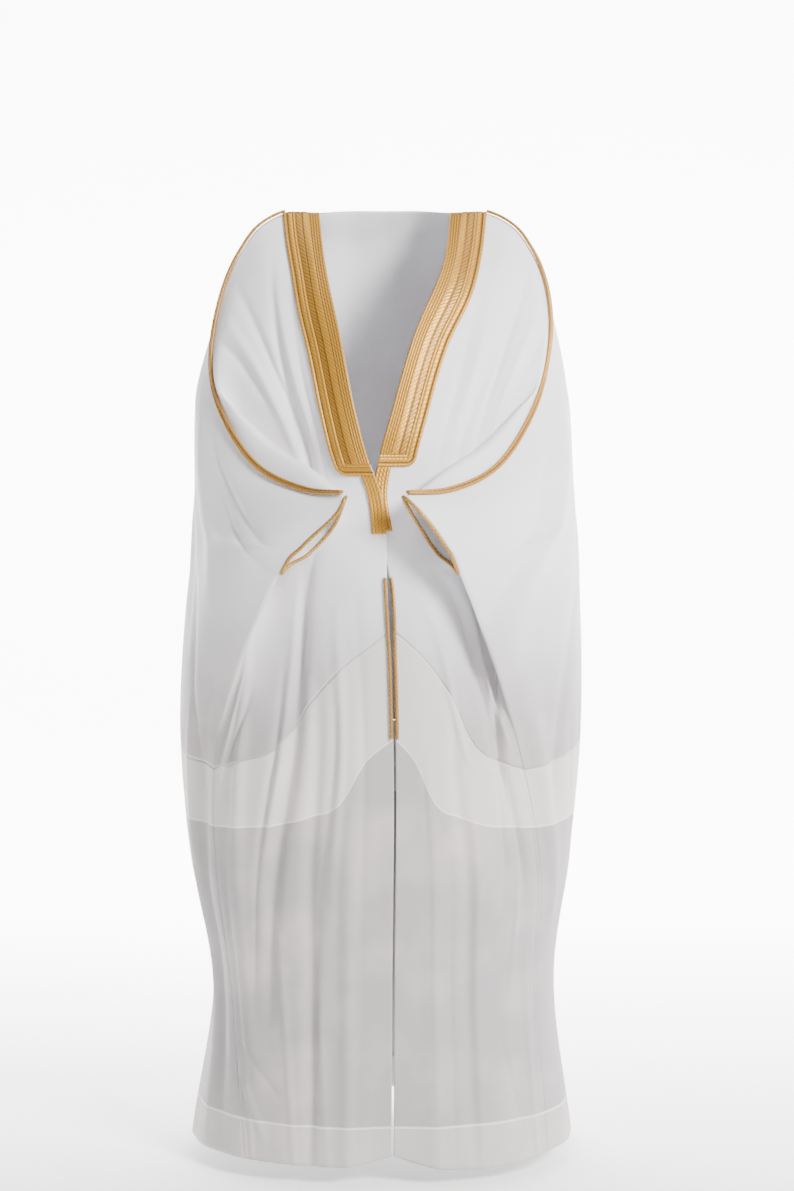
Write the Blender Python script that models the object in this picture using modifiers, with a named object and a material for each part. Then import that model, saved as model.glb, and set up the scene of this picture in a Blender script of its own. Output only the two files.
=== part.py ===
"""Bisht: a man's long, open ceremonial cloak of thin white cloth with gold trim, as it hangs when it is worn
with the hands folded in front. It is hollow: the neck, the front, both cuffs and the hem are open.

Frame: metres, +Z up. The origin lies midway between the shoulders at the height where the cloak rests on them.
The front faces -Y. The wearer's left is +X. Heights in the tables are measured up from the front hem.

The cut is a wide rectangle joined over the shoulders and arms by one seam on each side. A place on a panel is
given by `across`, 0 at the neck to 1 at the cuff and the fold below it (-0.12 at the centre back), and by `down`,
0 at the seam to 1 at the hem.
"""

from functools import lru_cache

import bmesh
import bpy
import numpy as np

# ---- driving sizes -------------------------------------------------------------------------------------------

SHOULDER_HEIGHT = 1.450     # shoulder line above the front hem
CLOTH = 0.0012              # thickness of a cloth wall
SEAM_GAP = 0.0003           # between pieces that lie on each other
MOST_JOIN = 0.006           # the furthest that a wall stops short of a sharp fold where two walls meet
BAND_WIDTH = 0.057          # gold band along each front
BAND_THICK = 0.0014
TAIL_WIDTH = 0.021          # narrow braid below the band's foot
EDGE_CORD = 0.0028          # cord radii
SEAM_CORD = 0.0042
CUFF_CORD = 0.0028
HEM_TURN = 0.058            # depth of the turned hem
CORD_CLEAR = 0.0006         # room between a cord and the edges that it covers
CENTRE_BACK = -0.12         # `across` at the centre back
NECK_BAND_ROWS = 4          # rows of the back panel that the neck band covers
LEFT, RIGHT = -1, 1         # the sign of X on each side: LEFT is the wearer's right
BAND_FOOT = {LEFT: 1.033, RIGHT: 1.047}         # heights of the ends of the trim at the front

# ---- tables --------------------------------------------------------------------------------------------------

# The seam over the shoulder and arm and the front panel inside it. Each row is a line down the cloth: its place
# across, then x, y and height at the seam, over the arm, inside the arm, under the arm and at the waist.
FRONT_LINES = (
    # across  seam                    over                    inside                  under                   waist
    (0.00, (0.105, 0.030, 1.452), (0.090, -0.050, 1.365), (0.055, -0.110, 1.244), (0.008, -0.148, 1.057), (0.002, -0.168, 0.90)),
    (0.08, (0.165, 0.020, 1.450), (0.140, -0.052, 1.340), (0.112, -0.092, 1.235), (0.060, -0.135, 1.057), (0.045, -0.166, 0.90)),
    (0.14, (0.205, 0.011, 1.426), (0.178, -0.045, 1.345), (0.145, -0.086, 1.230), (0.088, -0.126, 1.058), (0.074, -0.160, 0.90)),
    (0.20, (0.231, 0.002, 1.388), (0.208, -0.042, 1.325), (0.172, -0.080, 1.225), (0.115, -0.115, 1.060), (0.100, -0.152, 0.90)),
    (0.35, (0.257, -0.020, 1.288), (0.243, -0.047, 1.250), (0.205, -0.072, 1.180), (0.160, -0.090, 1.055), (0.140, -0.126, 0.90)),
    (0.48, (0.247, -0.040, 1.196), (0.236, -0.064, 1.175), (0.205, -0.066, 1.120), (0.180, -0.075, 1.030), (0.158, -0.108, 0.90)),
    (0.60, (0.221, -0.075, 1.122), (0.208, -0.085, 1.138), (0.178, -0.070, 1.100), (0.182, -0.078, 1.005), (0.168, -0.108, 0.90)),
    (0.73, (0.173, -0.123, 1.050), (0.157, -0.118, 1.082), (0.128, -0.095, 1.060), (0.152, -0.095, 0.985), (0.163, -0.126, 0.90)),
    (0.88, (0.098, -0.180, 1.010), (0.085, -0.168, 1.035), (0.062, -0.140, 1.012), (0.098, -0.135, 0.965), (0.142, -0.160, 0.89)),
    (1.00, (0.030, -0.220, 1.003), (0.034, -0.195, 0.994), (0.050, -0.172, 0.965), (0.080, -0.172, 0.920), (0.115, -0.205, 0.88)),
)

# The back panel outside the same seam: across, then x, y and height at the seam, over the arm, beside it and at
# the waist.
BACK_LINES = (
    # across  seam                    over                    beside                  waist
    (-0.12, (0.000, 0.085, 1.464), (0.000, 0.122, 1.400), (0.000, 0.150, 1.200), (0.000, 0.175, 0.90)),
    (-0.06, (0.060, 0.074, 1.462), (0.056, 0.117, 1.403), (0.052, 0.151, 1.200), (0.046, 0.175, 0.90)),
    (0.00, (0.105, 0.030, 1.452), (0.104, 0.090, 1.405), (0.098, 0.145, 1.200), (0.090, 0.175, 0.90)),
    (0.08, (0.165, 0.020, 1.450), (0.170, 0.072, 1.392), (0.155, 0.135, 1.190), (0.145, 0.166, 0.90)),
    (0.14, (0.205, 0.011, 1.426), (0.213, 0.060, 1.365), (0.188, 0.124, 1.178), (0.176, 0.155, 0.90)),
    (0.20, (0.231, 0.002, 1.388), (0.243, 0.045, 1.330), (0.218, 0.110, 1.160), (0.205, 0.140, 0.90)),
    (0.35, (0.257, -0.020, 1.288), (0.275, 0.014, 1.245), (0.266, 0.068, 1.090), (0.258, 0.100, 0.90)),
    (0.48, (0.247, -0.040, 1.196), (0.286, -0.010, 1.160), (0.295, 0.028, 1.040), (0.295, 0.050, 0.90)),
    (0.60, (0.221, -0.075, 1.122), (0.266, -0.058, 1.085), (0.296, -0.028, 1.000), (0.307, -0.006, 0.90)),
    (0.73, (0.173, -0.123, 1.050), (0.203, -0.125, 1.018), (0.250, -0.100, 0.960), (0.285, -0.077, 0.90)),
    (0.88, (0.098, -0.180, 1.010), (0.118, -0.196, 0.985), (0.162, -0.190, 0.940), (0.212, -0.155, 0.89)),
    (1.00, (0.030, -0.220, 1.003), (0.056, -0.226, 0.978), (0.092, -0.222, 0.930), (0.115, -0.205, 0.88)),
)

# How much farther out the wearer's right arm holds the cloth than the left, for each line from the neck out, and
# how much of that is left at each place down a line.
RIGHT_ARM_REACH = ((0.0, 0.0), (0.08, -0.004), (0.20, -0.006), (0.35, 0.003), (0.48, 0.020), (0.60, 0.023),
                   (0.73, 0.021), (0.88, 0.018), (1.0, 0.027))
REACH_LEFT_FRONT = (1.0, 1.0, 0.8, 0.6, 0.5)
REACH_LEFT_BACK = (1.0, 0.5, 0.1, 0.0)

# Rings below the arms: height, middle, half width, front depth, back depth.
RINGS = (
    (0.62, -0.008, 0.3125, 0.186, 0.200),
    (0.43, -0.007, 0.2990, 0.187, 0.200),
    (0.26, -0.002, 0.2712, 0.187, 0.192),
    (0.00, -0.004, 0.3010, 0.206, 0.215),
)
RING_SQUARENESS = 2.25
LINES_CROWD = 1.5           # how much the lines of a front panel close up towards the side fold

# The fold where front and back meet below each cuff: height, x on the wearer's right side, x on the left side.
SIDE_FOLD = (
    (0.88, 0.157, 0.115),
    (0.75, 0.221, 0.155),
    (0.62, 0.254, 0.203),
    (0.43, 0.256, 0.238),
    (0.26, 0.236, 0.235),
    (0.00, 0.212, 0.250),
)

# The two front edges: height, x midway between them, half of the opening (less than 0 where they lap), y.
FRONT_EDGE = (
    (1.452, 0.000, 0.1050, 0.030),
    (1.365, 0.000, 0.0920, -0.050),
    (1.244, -0.011, 0.0550, -0.110),
    (1.120, -0.016, 0.0245, -0.139),
    (1.057, -0.016, 0.0075, -0.148),
    (1.010, -0.011, -0.0060, -0.153),
    (0.950, -0.003, -0.0060, -0.161),
    (0.880, 0.006, 0.0016, -0.170),
    (0.750, 0.013, 0.0016, -0.180),
    (0.620, 0.016, 0.0016, -0.184),
    (0.260, 0.014, 0.0016, -0.186),
    (0.000, 0.013, 0.0016, -0.196),
)
LAP_DEPTH = 0.004           # each front edge leaves the common face by this much where they lap
LAP_TOP, LAP_BOTTOM = 1.10, 0.82

DOWN_KEYS_FRONT = (0.0, 0.07, 0.14, 0.27, 0.40, 0.60, 0.73, 0.84, 1.0)
DOWN_KEYS_BACK = (0.0, 0.09, 0.23, 0.40, 0.60, 0.73, 0.84, 1.0)
CUFF_END = 0.40             # `down` at the bottom of the cuff
CUFF_BOTTOM_HEIGHT = 0.88

# The doubled band at the waist: across, height of its upper line, height of its lower line.
WAIST_TUCK_FRONT = ((0.0, 0.800, 0.640), (0.12, 0.762, 0.600), (0.20, 0.735, 0.548), (0.35, 0.685, 0.522),
                    (0.48, 0.632, 0.510), (0.72, 0.602, 0.503), (1.0, 0.588, 0.500))
WAIST_TUCK_BACK = ((-0.12, 0.630, 0.510), (0.60, 0.620, 0.510), (0.85, 0.600, 0.504), (1.0, 0.588, 0.500))

# The largest folds. Each is a soft trough (less than 0) or ridge: the wearer's side, its place across at its top
# and at its foot, `down` at its top and at its foot, how far it stands out, and its half width across.
FRONT_FOLDS = (
    # side   top    foot   from   to     out      width
    (LEFT, 0.27, 0.62, 0.38, 0.88, -0.012, 0.070),
    (LEFT, 0.28, 0.42, 0.50, 1.05, -0.009, 0.060),
    (LEFT, 0.15, 0.22, 0.55, 1.10, 0.005, 0.060),
    (LEFT, 0.72, 0.78, 0.46, 0.95, 0.006, 0.080),
    (LEFT, 0.17, 0.22, 0.10, 0.36, -0.006, 0.040),
    (RIGHT, 0.68, 0.76, 0.46, 0.78, -0.010, 0.080),
    (RIGHT, 0.34, 0.40, 0.52, 1.05, -0.005, 0.070),
    (RIGHT, 0.17, 0.20, 0.60, 1.10, 0.004, 0.060),
    (RIGHT, 0.21, 0.18, 0.08, 0.34, -0.006, 0.040),
)
BACK_FOLDS = (
    (LEFT, -0.02, -0.05, 0.15, 1.10, -0.010, 0.055),
    (LEFT, 0.14, 0.10, 0.12, 1.10, 0.009, 0.060),
    (LEFT, 0.27, 0.24, 0.18, 1.10, -0.012, 0.055),
    (LEFT, 0.42, 0.40, 0.26, 1.05, 0.009, 0.060),
    (LEFT, 0.93, 0.90, 0.46, 1.05, -0.008, 0.060),
    (RIGHT, -0.04, -0.02, 0.18, 1.10, -0.007, 0.050),
    (RIGHT, 0.10, 0.12, 0.10, 1.10, 0.010, 0.065),
    (RIGHT, 0.24, 0.27, 0.20, 1.10, -0.010, 0.050),
    (RIGHT, 0.40, 0.37, 0.24, 1.05, 0.008, 0.060),
    (RIGHT, 0.95, 0.92, 0.42, 0.80, 0.008, 0.060),
)

# ---- curves --------------------------------------------------------------------------------------------------


def blended(start, end, tangent_in, tangent_out, share, width):
    """A cubic from start to end with the tangents given there."""
    return (start * (1 + 2 * share) * (1 - share) ** 2
            + end * share ** 2 * (3 - 2 * share)
            + tangent_in * width * share * (1 - share) ** 2
            - tangent_out * width * share ** 2 * (1 - share))


def tangents_of(keys, values):
    """Slopes of a smooth curve at its keys, from the parabola through each key and its neighbours."""
    step = np.diff(keys).reshape((-1,) + (1,) * (values.ndim - 1))
    slope = np.diff(values, axis=0) / step
    inner = (step[1:] * slope[:-1] + step[:-1] * slope[1:]) / (step[:-1] + step[1:])
    return np.concatenate([slope[:1], inner, slope[-1:]])


def smooth_curve(keys, values, at):
    """A smooth curve through values at keys, read at the places `at`."""
    keys, values, at = np.asarray(keys, float), np.asarray(values, float), np.asarray(at, float)
    tangents = tangents_of(keys, values)
    span = np.clip(np.searchsorted(keys, at, side="right") - 1, 0, len(keys) - 2)
    shape = at.shape + (1,) * (values.ndim - 1)
    width = (keys[span + 1] - keys[span]).reshape(shape)
    share = (at - keys[span]).reshape(shape) / width
    return blended(values[span], values[span + 1], tangents[span], tangents[span + 1], share, width)


def smooth_curves(keys, values, at):
    """The same for many curves at once: values[:, i] is read at the place at[i]."""
    keys = np.asarray(keys, float)
    tangents = tangents_of(keys, values)
    span = np.clip(np.searchsorted(keys, at, side="right") - 1, 0, len(keys) - 2)
    each = np.arange(len(at))
    width = (keys[span + 1] - keys[span])[:, None]
    share = (at - keys[span])[:, None] / width
    return blended(values[span, each], values[span + 1, each], tangents[span, each],
                   tangents[span + 1, each], share, width)


def by_height(table, column, height):
    """A column of a table whose first column is a falling height."""
    rows = np.array(table)[::-1]
    return smooth_curve(rows[:, 0], rows[:, column], np.clip(height, rows[0, 0], rows[-1, 0]))


def by_across(table, column, across):
    rows = np.array(table)
    return smooth_curve(rows[:, 0], rows[:, column], across)


def eased(x):
    x = np.clip(x, 0.0, 1.0)
    return x * x * (3 - 2 * x)


# ---- the form of the cloth -----------------------------------------------------------------------------------


def side_fold_x(side, height):
    return by_height(SIDE_FOLD, 1 if side == LEFT else 2, height)


def ring_point(height_row, side, angle):
    """A point of a ring: the angle is 0 at the front and pi at the back."""
    height, middle, half_width, front, back = height_row
    sine, cosine = np.abs(np.sin(angle)), np.cos(angle)
    x = side * half_width * sine ** (2 / RING_SQUARENESS)
    depth = np.where(cosine > 0, -front, back)
    y = depth * np.abs(cosine) ** (2 / RING_SQUARENESS)
    return np.stack([x + middle, y, np.full_like(x, height)], axis=-1)


def angle_at_x(height_row, side, x):
    _, middle, half_width, _, _ = height_row
    share = np.clip((side * (x - middle)) / half_width, 0.0, 1.0)
    return np.arcsin(share ** (RING_SQUARENESS / 2))


def reach(side, across):
    extra = by_across(RIGHT_ARM_REACH, 1, np.maximum(across, 0.0))
    return extra if side == LEFT else np.zeros_like(extra)


def front_edge(side, height):
    """The free front edge of a panel."""
    middle = by_height(FRONT_EDGE, 1, height)
    half = by_height(FRONT_EDGE, 2, height)
    y = by_height(FRONT_EDGE, 3, height)
    lapped = eased((LAP_TOP - height) / 0.06) * eased((height - LAP_BOTTOM) / 0.04)
    return np.stack([middle + side * half, y + side * LAP_DEPTH * lapped, height], axis=-1)


def keyed_lines(lines, reach_left, side, across):
    """The tabled points of each line down a panel, read between the lines: one array for each key."""
    places = [row[0] for row in lines]
    points = np.array([row[1:] for row in lines])
    read = np.moveaxis(smooth_curve(places, points, across), -2, 0)
    for key, share in zip(read, reach_left):
        key[..., 0] += share * reach(side, across)
        key[..., 0] *= side
    return list(read)


def cuff_bottom_shift(side):
    """How far the bottom of this side's cuff lies outside the tabled one."""
    return side * (side_fold_x(side, np.array(CUFF_BOTTOM_HEIGHT)) - FRONT_LINES[-1][-1][0])


def seam_point(side, across):
    return keyed_lines(BACK_LINES, REACH_LEFT_BACK, side, np.asarray(across, float))[0]


def lower_fold(side, height_row):
    """The side fold's angle on a ring."""
    x = side * side_fold_x(side, np.array(height_row[0]))
    return angle_at_x(height_row, side, x)


def raw_front(side, across, down):
    keyed = keyed_lines(FRONT_LINES, REACH_LEFT_FRONT, side, across)
    shift = cuff_bottom_shift(side) - side * REACH_LEFT_FRONT[-1] * reach(side, np.array(1.0))
    keyed[4][..., 0] += shift * eased((across - 0.3) / 0.7)
    keyed[3][..., 0] += 0.5 * shift * eased((across - 0.3) / 0.7)
    for ring in RINGS:
        edge_x = front_edge(side, np.array(ring[0]))[0]
        fold_x = side * side_fold_x(side, np.array(ring[0]))
        x = edge_x + (fold_x - edge_x) * (1 - (1 - across) ** LINES_CROWD)
        angle = angle_at_x(ring, side, x)
        point = ring_point(ring, side, angle)
        point[..., 0] = x
        keyed.append(point)
    return read_down(keyed, DOWN_KEYS_FRONT, down)


def raw_back(side, across, down):
    keyed = keyed_lines(BACK_LINES, REACH_LEFT_BACK, side, across)
    shift = cuff_bottom_shift(side)
    keyed[3][..., 0] += shift * eased((across - 0.7) / 0.3)
    keyed[2][..., 0] += 0.6 * shift * eased((across - 0.7) / 0.3)
    for ring in RINGS:
        start = lower_fold(side, ring)
        share = (1 - across) / (1 - CENTRE_BACK)
        keyed.append(ring_point(ring, side, start + (np.pi - start) * share))
    return read_down(keyed, DOWN_KEYS_BACK, down)


def read_down(keyed, down_keys, down):
    """Reads each line down the cloth, given its point at each key, at the places `down`."""
    stack = np.stack(keyed)
    flat = stack.reshape(len(down_keys), -1, 3)
    at = np.broadcast_to(down, stack.shape[1:-1]).reshape(-1)
    return smooth_curves(down_keys, flat, at).reshape(stack.shape[1:])


def hem_lift(side, across, down):
    """The hem rises a little beside the front opening, and hangs lowest under the wearer's left hand."""
    near_edge = 0.015 * np.clip(1 - across / 0.3, 0.0, 1.0) ** 2
    low = -0.008 * np.sin(np.pi * np.clip(across, 0.0, 1.0)) if side == RIGHT else 0.0
    return (near_edge + low) * np.clip((down - 0.84) / 0.16, 0.0, None) ** 2


def plain_front(side, across, down):
    """A point of a front panel before its folds."""
    across, down = np.broadcast_arrays(np.asarray(across, float), np.asarray(down, float))
    point = raw_front(side, across, down)
    zero, one = np.zeros_like(across), np.ones_like(across)
    at_edge = raw_front(side, zero, down)
    point = point + (front_edge(side, at_edge[..., 2]) - at_edge) * (1 - eased(across / 0.25))[..., None]
    at_seam = raw_front(side, across, zero)
    point = point + (seam_point(side, across) - at_seam) * (1 - eased(down / 0.10))[..., None]
    below_cuff = (down >= CUFF_END)[..., None]
    apart = (raw_back(side, one, down) - raw_front(side, one, down)) * below_cuff
    point = point + 0.5 * apart * eased((across - 0.7) / 0.3)[..., None]
    point[..., 2] += hem_lift(side, across, down)
    return point


def plain_back(side, across, down):
    """A point of the back panel's half on one side, before its folds."""
    across, down = np.broadcast_arrays(np.asarray(across, float), np.asarray(down, float))
    point = raw_back(side, across, down)
    one = np.ones_like(across)
    below_cuff = (down >= CUFF_END)[..., None]
    apart = (raw_front(side, one, down) - raw_back(side, one, down)) * below_cuff
    return point + 0.5 * apart * eased((across - 0.8) / 0.2)[..., None]


def outward(panel, side, across, down):
    """The unit normal of a panel, pointing out of the garment."""
    step = 0.004
    first = 0.0 if panel is plain_front else CENTRE_BACK
    further, nearer = np.minimum(across + step, 1.0), np.maximum(across - step, first)
    lower, higher = np.minimum(down + step, 1.0), np.maximum(down - step, 0.0)
    along = panel(side, further, down) - panel(side, nearer, down)
    falling = panel(side, across, lower) - panel(side, across, higher)
    turn = -side if panel is plain_front else side
    normal = np.cross(along, falling) * turn
    return normal / np.linalg.norm(normal, axis=-1, keepdims=True)


def fold_height(folds, side, across, down):
    """How far the folds push the cloth out at a place."""
    total = np.zeros(np.broadcast(across, down).shape)
    for fold_side, top, foot, start, end, out, width in folds:
        if fold_side != side:
            continue
        share = np.clip((down - start) / (end - start), 0.0, 1.0)
        centre = top + (foot - top) * share
        fade = np.sin(np.pi * share) ** 0.7
        total = total + out * fade * np.exp(-((across - centre) / (0.6 * width)) ** 2)
    return total


def front(side, across, down, out=0.0):
    """A point of a front panel's middle surface, moved out by `out`."""
    across, down = np.broadcast_arrays(np.asarray(across, float), np.asarray(down, float))
    away = out + fold_height(FRONT_FOLDS, side, across, down)
    return plain_front(side, across, down) + away[..., None] * outward(plain_front, side, across, down)


def back(side, across, down, out=0.0):
    """A point of the back panel's middle surface, moved out by `out`."""
    across, down = np.broadcast_arrays(np.asarray(across, float), np.asarray(down, float))
    away = out + fold_height(BACK_FOLDS, side, across, down)
    return plain_back(side, across, down) + away[..., None] * outward(plain_back, side, across, down)


def down_at_height(plain, side, across, height):
    """How far down a line of a panel lies at a height, below the arm."""
    tries = np.linspace(0.2, 1.0, 161)
    heights = plain(side, np.full_like(tries, across), tries)[:, 2]
    return float(np.interp(-height, -heights, tries))


# ---- the grid that all pieces of a panel share ----------------------------------------------------------------

LINES_ACROSS = np.array([0.0, 0.03, 0.08, 0.21, 0.27, 0.33, 0.39, 0.45, 0.51, 0.58, 0.65, 0.72, 0.79, 0.86, 0.93, 1.0])
BAND_LINES = (1, 2)                             # these two follow the tail's and the band's outer edges
ABOVE_FOOT = np.array([0.0, 0.10, 0.22, 0.36, 0.52, 0.68, 0.84])
ROWS_TO_TUCK = np.array([0.25, 0.5, 0.75])
ROWS_OF_TUCK = np.array([0.0, 0.5])
ROWS_OF_SKIRT = np.array([0.0, 0.25, 0.5, 0.75])
ROWS_OF_TURN = np.array([0.0, 0.5])
FOOT_ROW = len(ABOVE_FOOT)
TAIL_ROW = FOOT_ROW + 2
CUFF_ROW = FOOT_ROW + 3
TUCK_ROW = CUFF_ROW + len(ROWS_TO_TUCK) + 1
TUCK_END = TUCK_ROW + len(ROWS_OF_TUCK)
TURN_ROW = TUCK_END + len(ROWS_OF_SKIRT)


def rows_down(plain, side, across):
    """`down` of every row of the grid on one line."""
    table = WAIST_TUCK_FRONT if plain is plain_front else WAIST_TUCK_BACK
    foot = down_at_height(plain_front, side, 0.0, BAND_FOOT[side])
    upper = down_at_height(plain, side, across, by_across(table, 1, across))
    lower = down_at_height(plain, side, across, by_across(table, 2, across))
    turn = down_at_height(plain, side, across, HEM_TURN)
    return np.concatenate([
        foot * ABOVE_FOOT,
        foot + (CUFF_END - foot) * np.array([0.0, 0.33, 0.67, 1.0]),
        CUFF_END + (upper - CUFF_END) * ROWS_TO_TUCK,
        upper + (lower - upper) * ROWS_OF_TUCK,
        lower + (turn - lower) * ROWS_OF_SKIRT,
        turn + (1.0 - turn) * ROWS_OF_TURN,
        [1.0],
    ])


def across_at_distance(side, down, distance):
    """The place across a front panel that lies a distance from its free edge."""
    tries = np.linspace(0.0, 0.3, 61)
    line = front(side, tries, np.full_like(tries, down))
    reached = np.concatenate([[0.0], np.cumsum(np.linalg.norm(np.diff(line, axis=0), axis=1))])
    return float(np.interp(distance, reached, tries))


@lru_cache
def front_places(side):
    """Places across and down of the front panel's grid."""
    down = np.array([rows_down(plain_front, side, across) for across in LINES_ACROSS])
    across = np.repeat(LINES_ACROSS[:, None], down.shape[1], axis=1)
    for line, distance in zip(BAND_LINES, (TAIL_WIDTH, BAND_WIDTH)):
        across[line] = [across_at_distance(side, place, distance) for place in down[line]]
    return across, down


@lru_cache
def back_places(side):
    """Places across and down of the back's grid on one side. Its lines meet the front's at the seam."""
    seam = front_places(side)[0][:, 0]
    lines = np.concatenate([[CENTRE_BACK, CENTRE_BACK / 2], seam])
    down = np.array([rows_down(plain_back, side, across) for across in lines])
    return np.repeat(lines[:, None], down.shape[1], axis=1), down


# ---- meshes --------------------------------------------------------------------------------------------------


def remove_everything():
    for found in list(bpy.data.objects):
        bpy.data.objects.remove(found, do_unlink=True)


def material(name, colour, roughness, metallic=0.0):
    made = bpy.data.materials.new(name)
    made.use_nodes = True
    shader = made.node_tree.nodes["Principled BSDF"]
    shader.inputs["Base Color"].default_value = (*colour, 1.0)
    shader.inputs["Roughness"].default_value = roughness
    shader.inputs["Metallic"].default_value = metallic
    return made


def pulled_in(points, gap):
    """Moves the border of a grid of points in along the grid: gap gives the distance at each of its four sides."""
    points = points.copy()
    first, last, top, foot = gap
    for edge, inner, distance in ((0, 1, first), (-1, -2, last)):
        way = points[inner] - points[edge]
        points[edge] += way / np.linalg.norm(way, axis=-1, keepdims=True) * distance
    for edge, inner, distance in ((0, 1, top), (-1, -2, foot)):
        way = points[:, inner] - points[:, edge]
        points[:, edge] += way / np.linalg.norm(way, axis=-1, keepdims=True) * distance
    return points


def sheet(name, points, thick, finish, collection):
    """A wall of one thickness about a grid of points, given in heights above the hem."""
    columns, rows = points.shape[:2]
    mesh = bpy.data.meshes.new(name)
    shaped = bmesh.new()
    bmesh.ops.create_grid(shaped, x_segments=columns - 1, y_segments=rows - 1, size=0.5)
    for vertex in shaped.verts:
        column = round((vertex.co.x + 0.5) * (columns - 1))
        row = round((vertex.co.y + 0.5) * (rows - 1))
        x, y, height = points[column, row]
        vertex.co = (x, y, height - SHOULDER_HEIGHT)
    shaped.to_mesh(mesh)
    shaped.free()
    mesh.shade_smooth()
    made = bpy.data.objects.new(name, mesh)
    mesh.materials.append(finish)
    collection.objects.link(made)
    wall = made.modifiers.new("Wall", "SOLIDIFY")
    wall.thickness = thick
    wall.offset = 0.0
    wall.use_even_offset = True
    return made


def tube(name, points, radius, finish, collection, closed=False):
    """A round cord along a line of points."""
    curve = bpy.data.curves.new(name, "CURVE")
    curve.dimensions = "3D"
    curve.bevel_depth = radius
    curve.bevel_resolution = 2
    curve.use_fill_caps = not closed
    line = curve.splines.new("POLY")
    line.points.add(len(points) - 1)
    for place, (x, y, height) in zip(line.points, points):
        place.co = (x, y, height - SHOULDER_HEIGHT, 1.0)
    line.use_cyclic_u = closed
    curve.materials.append(finish)
    made = bpy.data.objects.new(name, curve)
    collection.objects.link(made)
    return made


# ---- pieces --------------------------------------------------------------------------------------------------

WEARER_SIDE = {LEFT: "right", RIGHT: "left"}
HALF_GAP = SEAM_GAP / 2
UNDER = -(CLOTH + 3 * SEAM_GAP)                  # from a panel's middle to the middle of cloth that lies under it
BAND_OUT = CLOTH / 2 + 2 * SEAM_GAP + BAND_THICK / 2

# Each cloth piece of a panel: its name, its first and last row, how far out of the panel it lies, how many lines
# short of the side fold it stops, and how far its top and foot are pulled in.
CLOTH_PIECES = (
    ("upper", 0, TUCK_ROW, 0.0, 0, (0.0, HALF_GAP)),
    ("lower", TUCK_ROW, None, 0.0, 0, (HALF_GAP, 0.0)),
    ("waist_tuck", TUCK_ROW, TUCK_END, UNDER, 1, (0.001, 0.0)),
    ("hem_turn", TURN_ROW, None, UNDER, 1, (0.0, 0.001)),
)


def join_distance(front_edge_points, front_inner, back_edge_points, back_inner):
    """How far each of two walls that share an edge is pulled in, so that neither reaches the other."""
    front_way = front_inner - front_edge_points
    back_way = back_inner - back_edge_points
    front_way /= np.linalg.norm(front_way, axis=-1, keepdims=True)
    back_way /= np.linalg.norm(back_way, axis=-1, keepdims=True)
    cosine = np.clip(np.sum(front_way * back_way, axis=-1), -1.0, 0.999)
    half_sine, half_cosine = np.sqrt((1 - cosine) / 2), np.sqrt((1 + cosine) / 2)
    gap = 0.5 * (2 * SEAM_GAP + CLOTH * half_cosine) / half_sine
    return np.minimum(gap, MOST_JOIN)[:, None]


@lru_cache
def joins(side):
    """The distances that a panel's walls are pulled in along the seam and down the side."""
    ahead, behind = front(side, *front_places(side)), back(side, *back_places(side))[2:]
    seam = join_distance(ahead[:, 0], ahead[:, 1], behind[:, 0], behind[:, 1])
    fold = join_distance(ahead[-1], ahead[-2], behind[-1], behind[-2])
    return seam, fold


def panel_piece(points, side, first, last, short, gaps):
    """The rows of a panel's grid from first to last, pulled in where they meet other walls."""
    seam, fold = joins(side)
    until = points.shape[1] if last is None else last + 1
    seam = np.concatenate([np.repeat(seam[:1], len(points) - len(seam), axis=0), seam])
    top, foot = gaps
    if short:
        return pulled_in(points[:-short, first:until], (0.0, 0.0, top, foot))
    return pulled_in(points[:, first:until], (0.0, fold[first:until], top if first else seam, foot))


def front_cloth(side, cloth, collection):
    across, down = front_places(side)
    for name, first, last, out, short, gaps in CLOTH_PIECES:
        points = panel_piece(front(side, across, down, out), side, first, last, short, gaps)
        if short:
            points = pulled_in(points, (0.003, 0.0, 0.0, 0.0))
        sheet(f"{name}_front_{WEARER_SIDE[side]}", points[::side], CLOTH, cloth, collection)


def joined_halves(right, left):
    """One grid from the wearer's right half, turned round, and the left half, which meet at the centre back."""
    return np.concatenate([right[:0:-1], 0.5 * (right[:1] + left[:1]), left[1:]])


def back_cloth(cloth, collection):
    for name, first, last, out, short, gaps in CLOTH_PIECES:
        halves = []
        for side in (LEFT, RIGHT):
            points = back(side, *back_places(side), out)
            halves.append(panel_piece(points, side, first, last, short, gaps))
        sheet(f"{name}_back", joined_halves(*halves)[::-1], CLOTH, cloth, collection)


def front_bands(side, gold, collection):
    """The gold band down the edge, and the narrow braid that goes on below its foot."""
    across, down = front_places(side)
    points = front(side, across, down, BAND_OUT)
    tail_line, band_line = BAND_LINES
    seam = joins(side)[0][:band_line + 1] + SEAM_GAP
    band = pulled_in(points[:band_line + 1, :FOOT_ROW + 1], (0.0, 0.0, seam, HALF_GAP))
    sheet("band_front_" + WEARER_SIDE[side], band[::side], BAND_THICK, gold, collection)
    tail = pulled_in(points[:tail_line + 1, FOOT_ROW:TAIL_ROW + 1], (0.0, 0.0, HALF_GAP, 0.0))
    sheet("band_tail_" + WEARER_SIDE[side], tail[::side], BAND_THICK, gold, collection)


def neck_band(gold, collection):
    """The same band round the back of the neck, from one shoulder seam to the other."""
    halves = []
    last_line = 2 + BAND_LINES[1]
    for side in (LEFT, RIGHT):
        points = back(side, *back_places(side), BAND_OUT)[:last_line + 1, :NECK_BAND_ROWS]
        seam = joins(side)[0][:last_line - 1] + SEAM_GAP
        gaps = np.concatenate([seam[:1], seam[:1], seam])
        halves.append(pulled_in(points, (0.0, 0.0, gaps, 0.0)))
    sheet("band_neck", joined_halves(*halves)[::-1], BAND_THICK, gold, collection)


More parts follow.
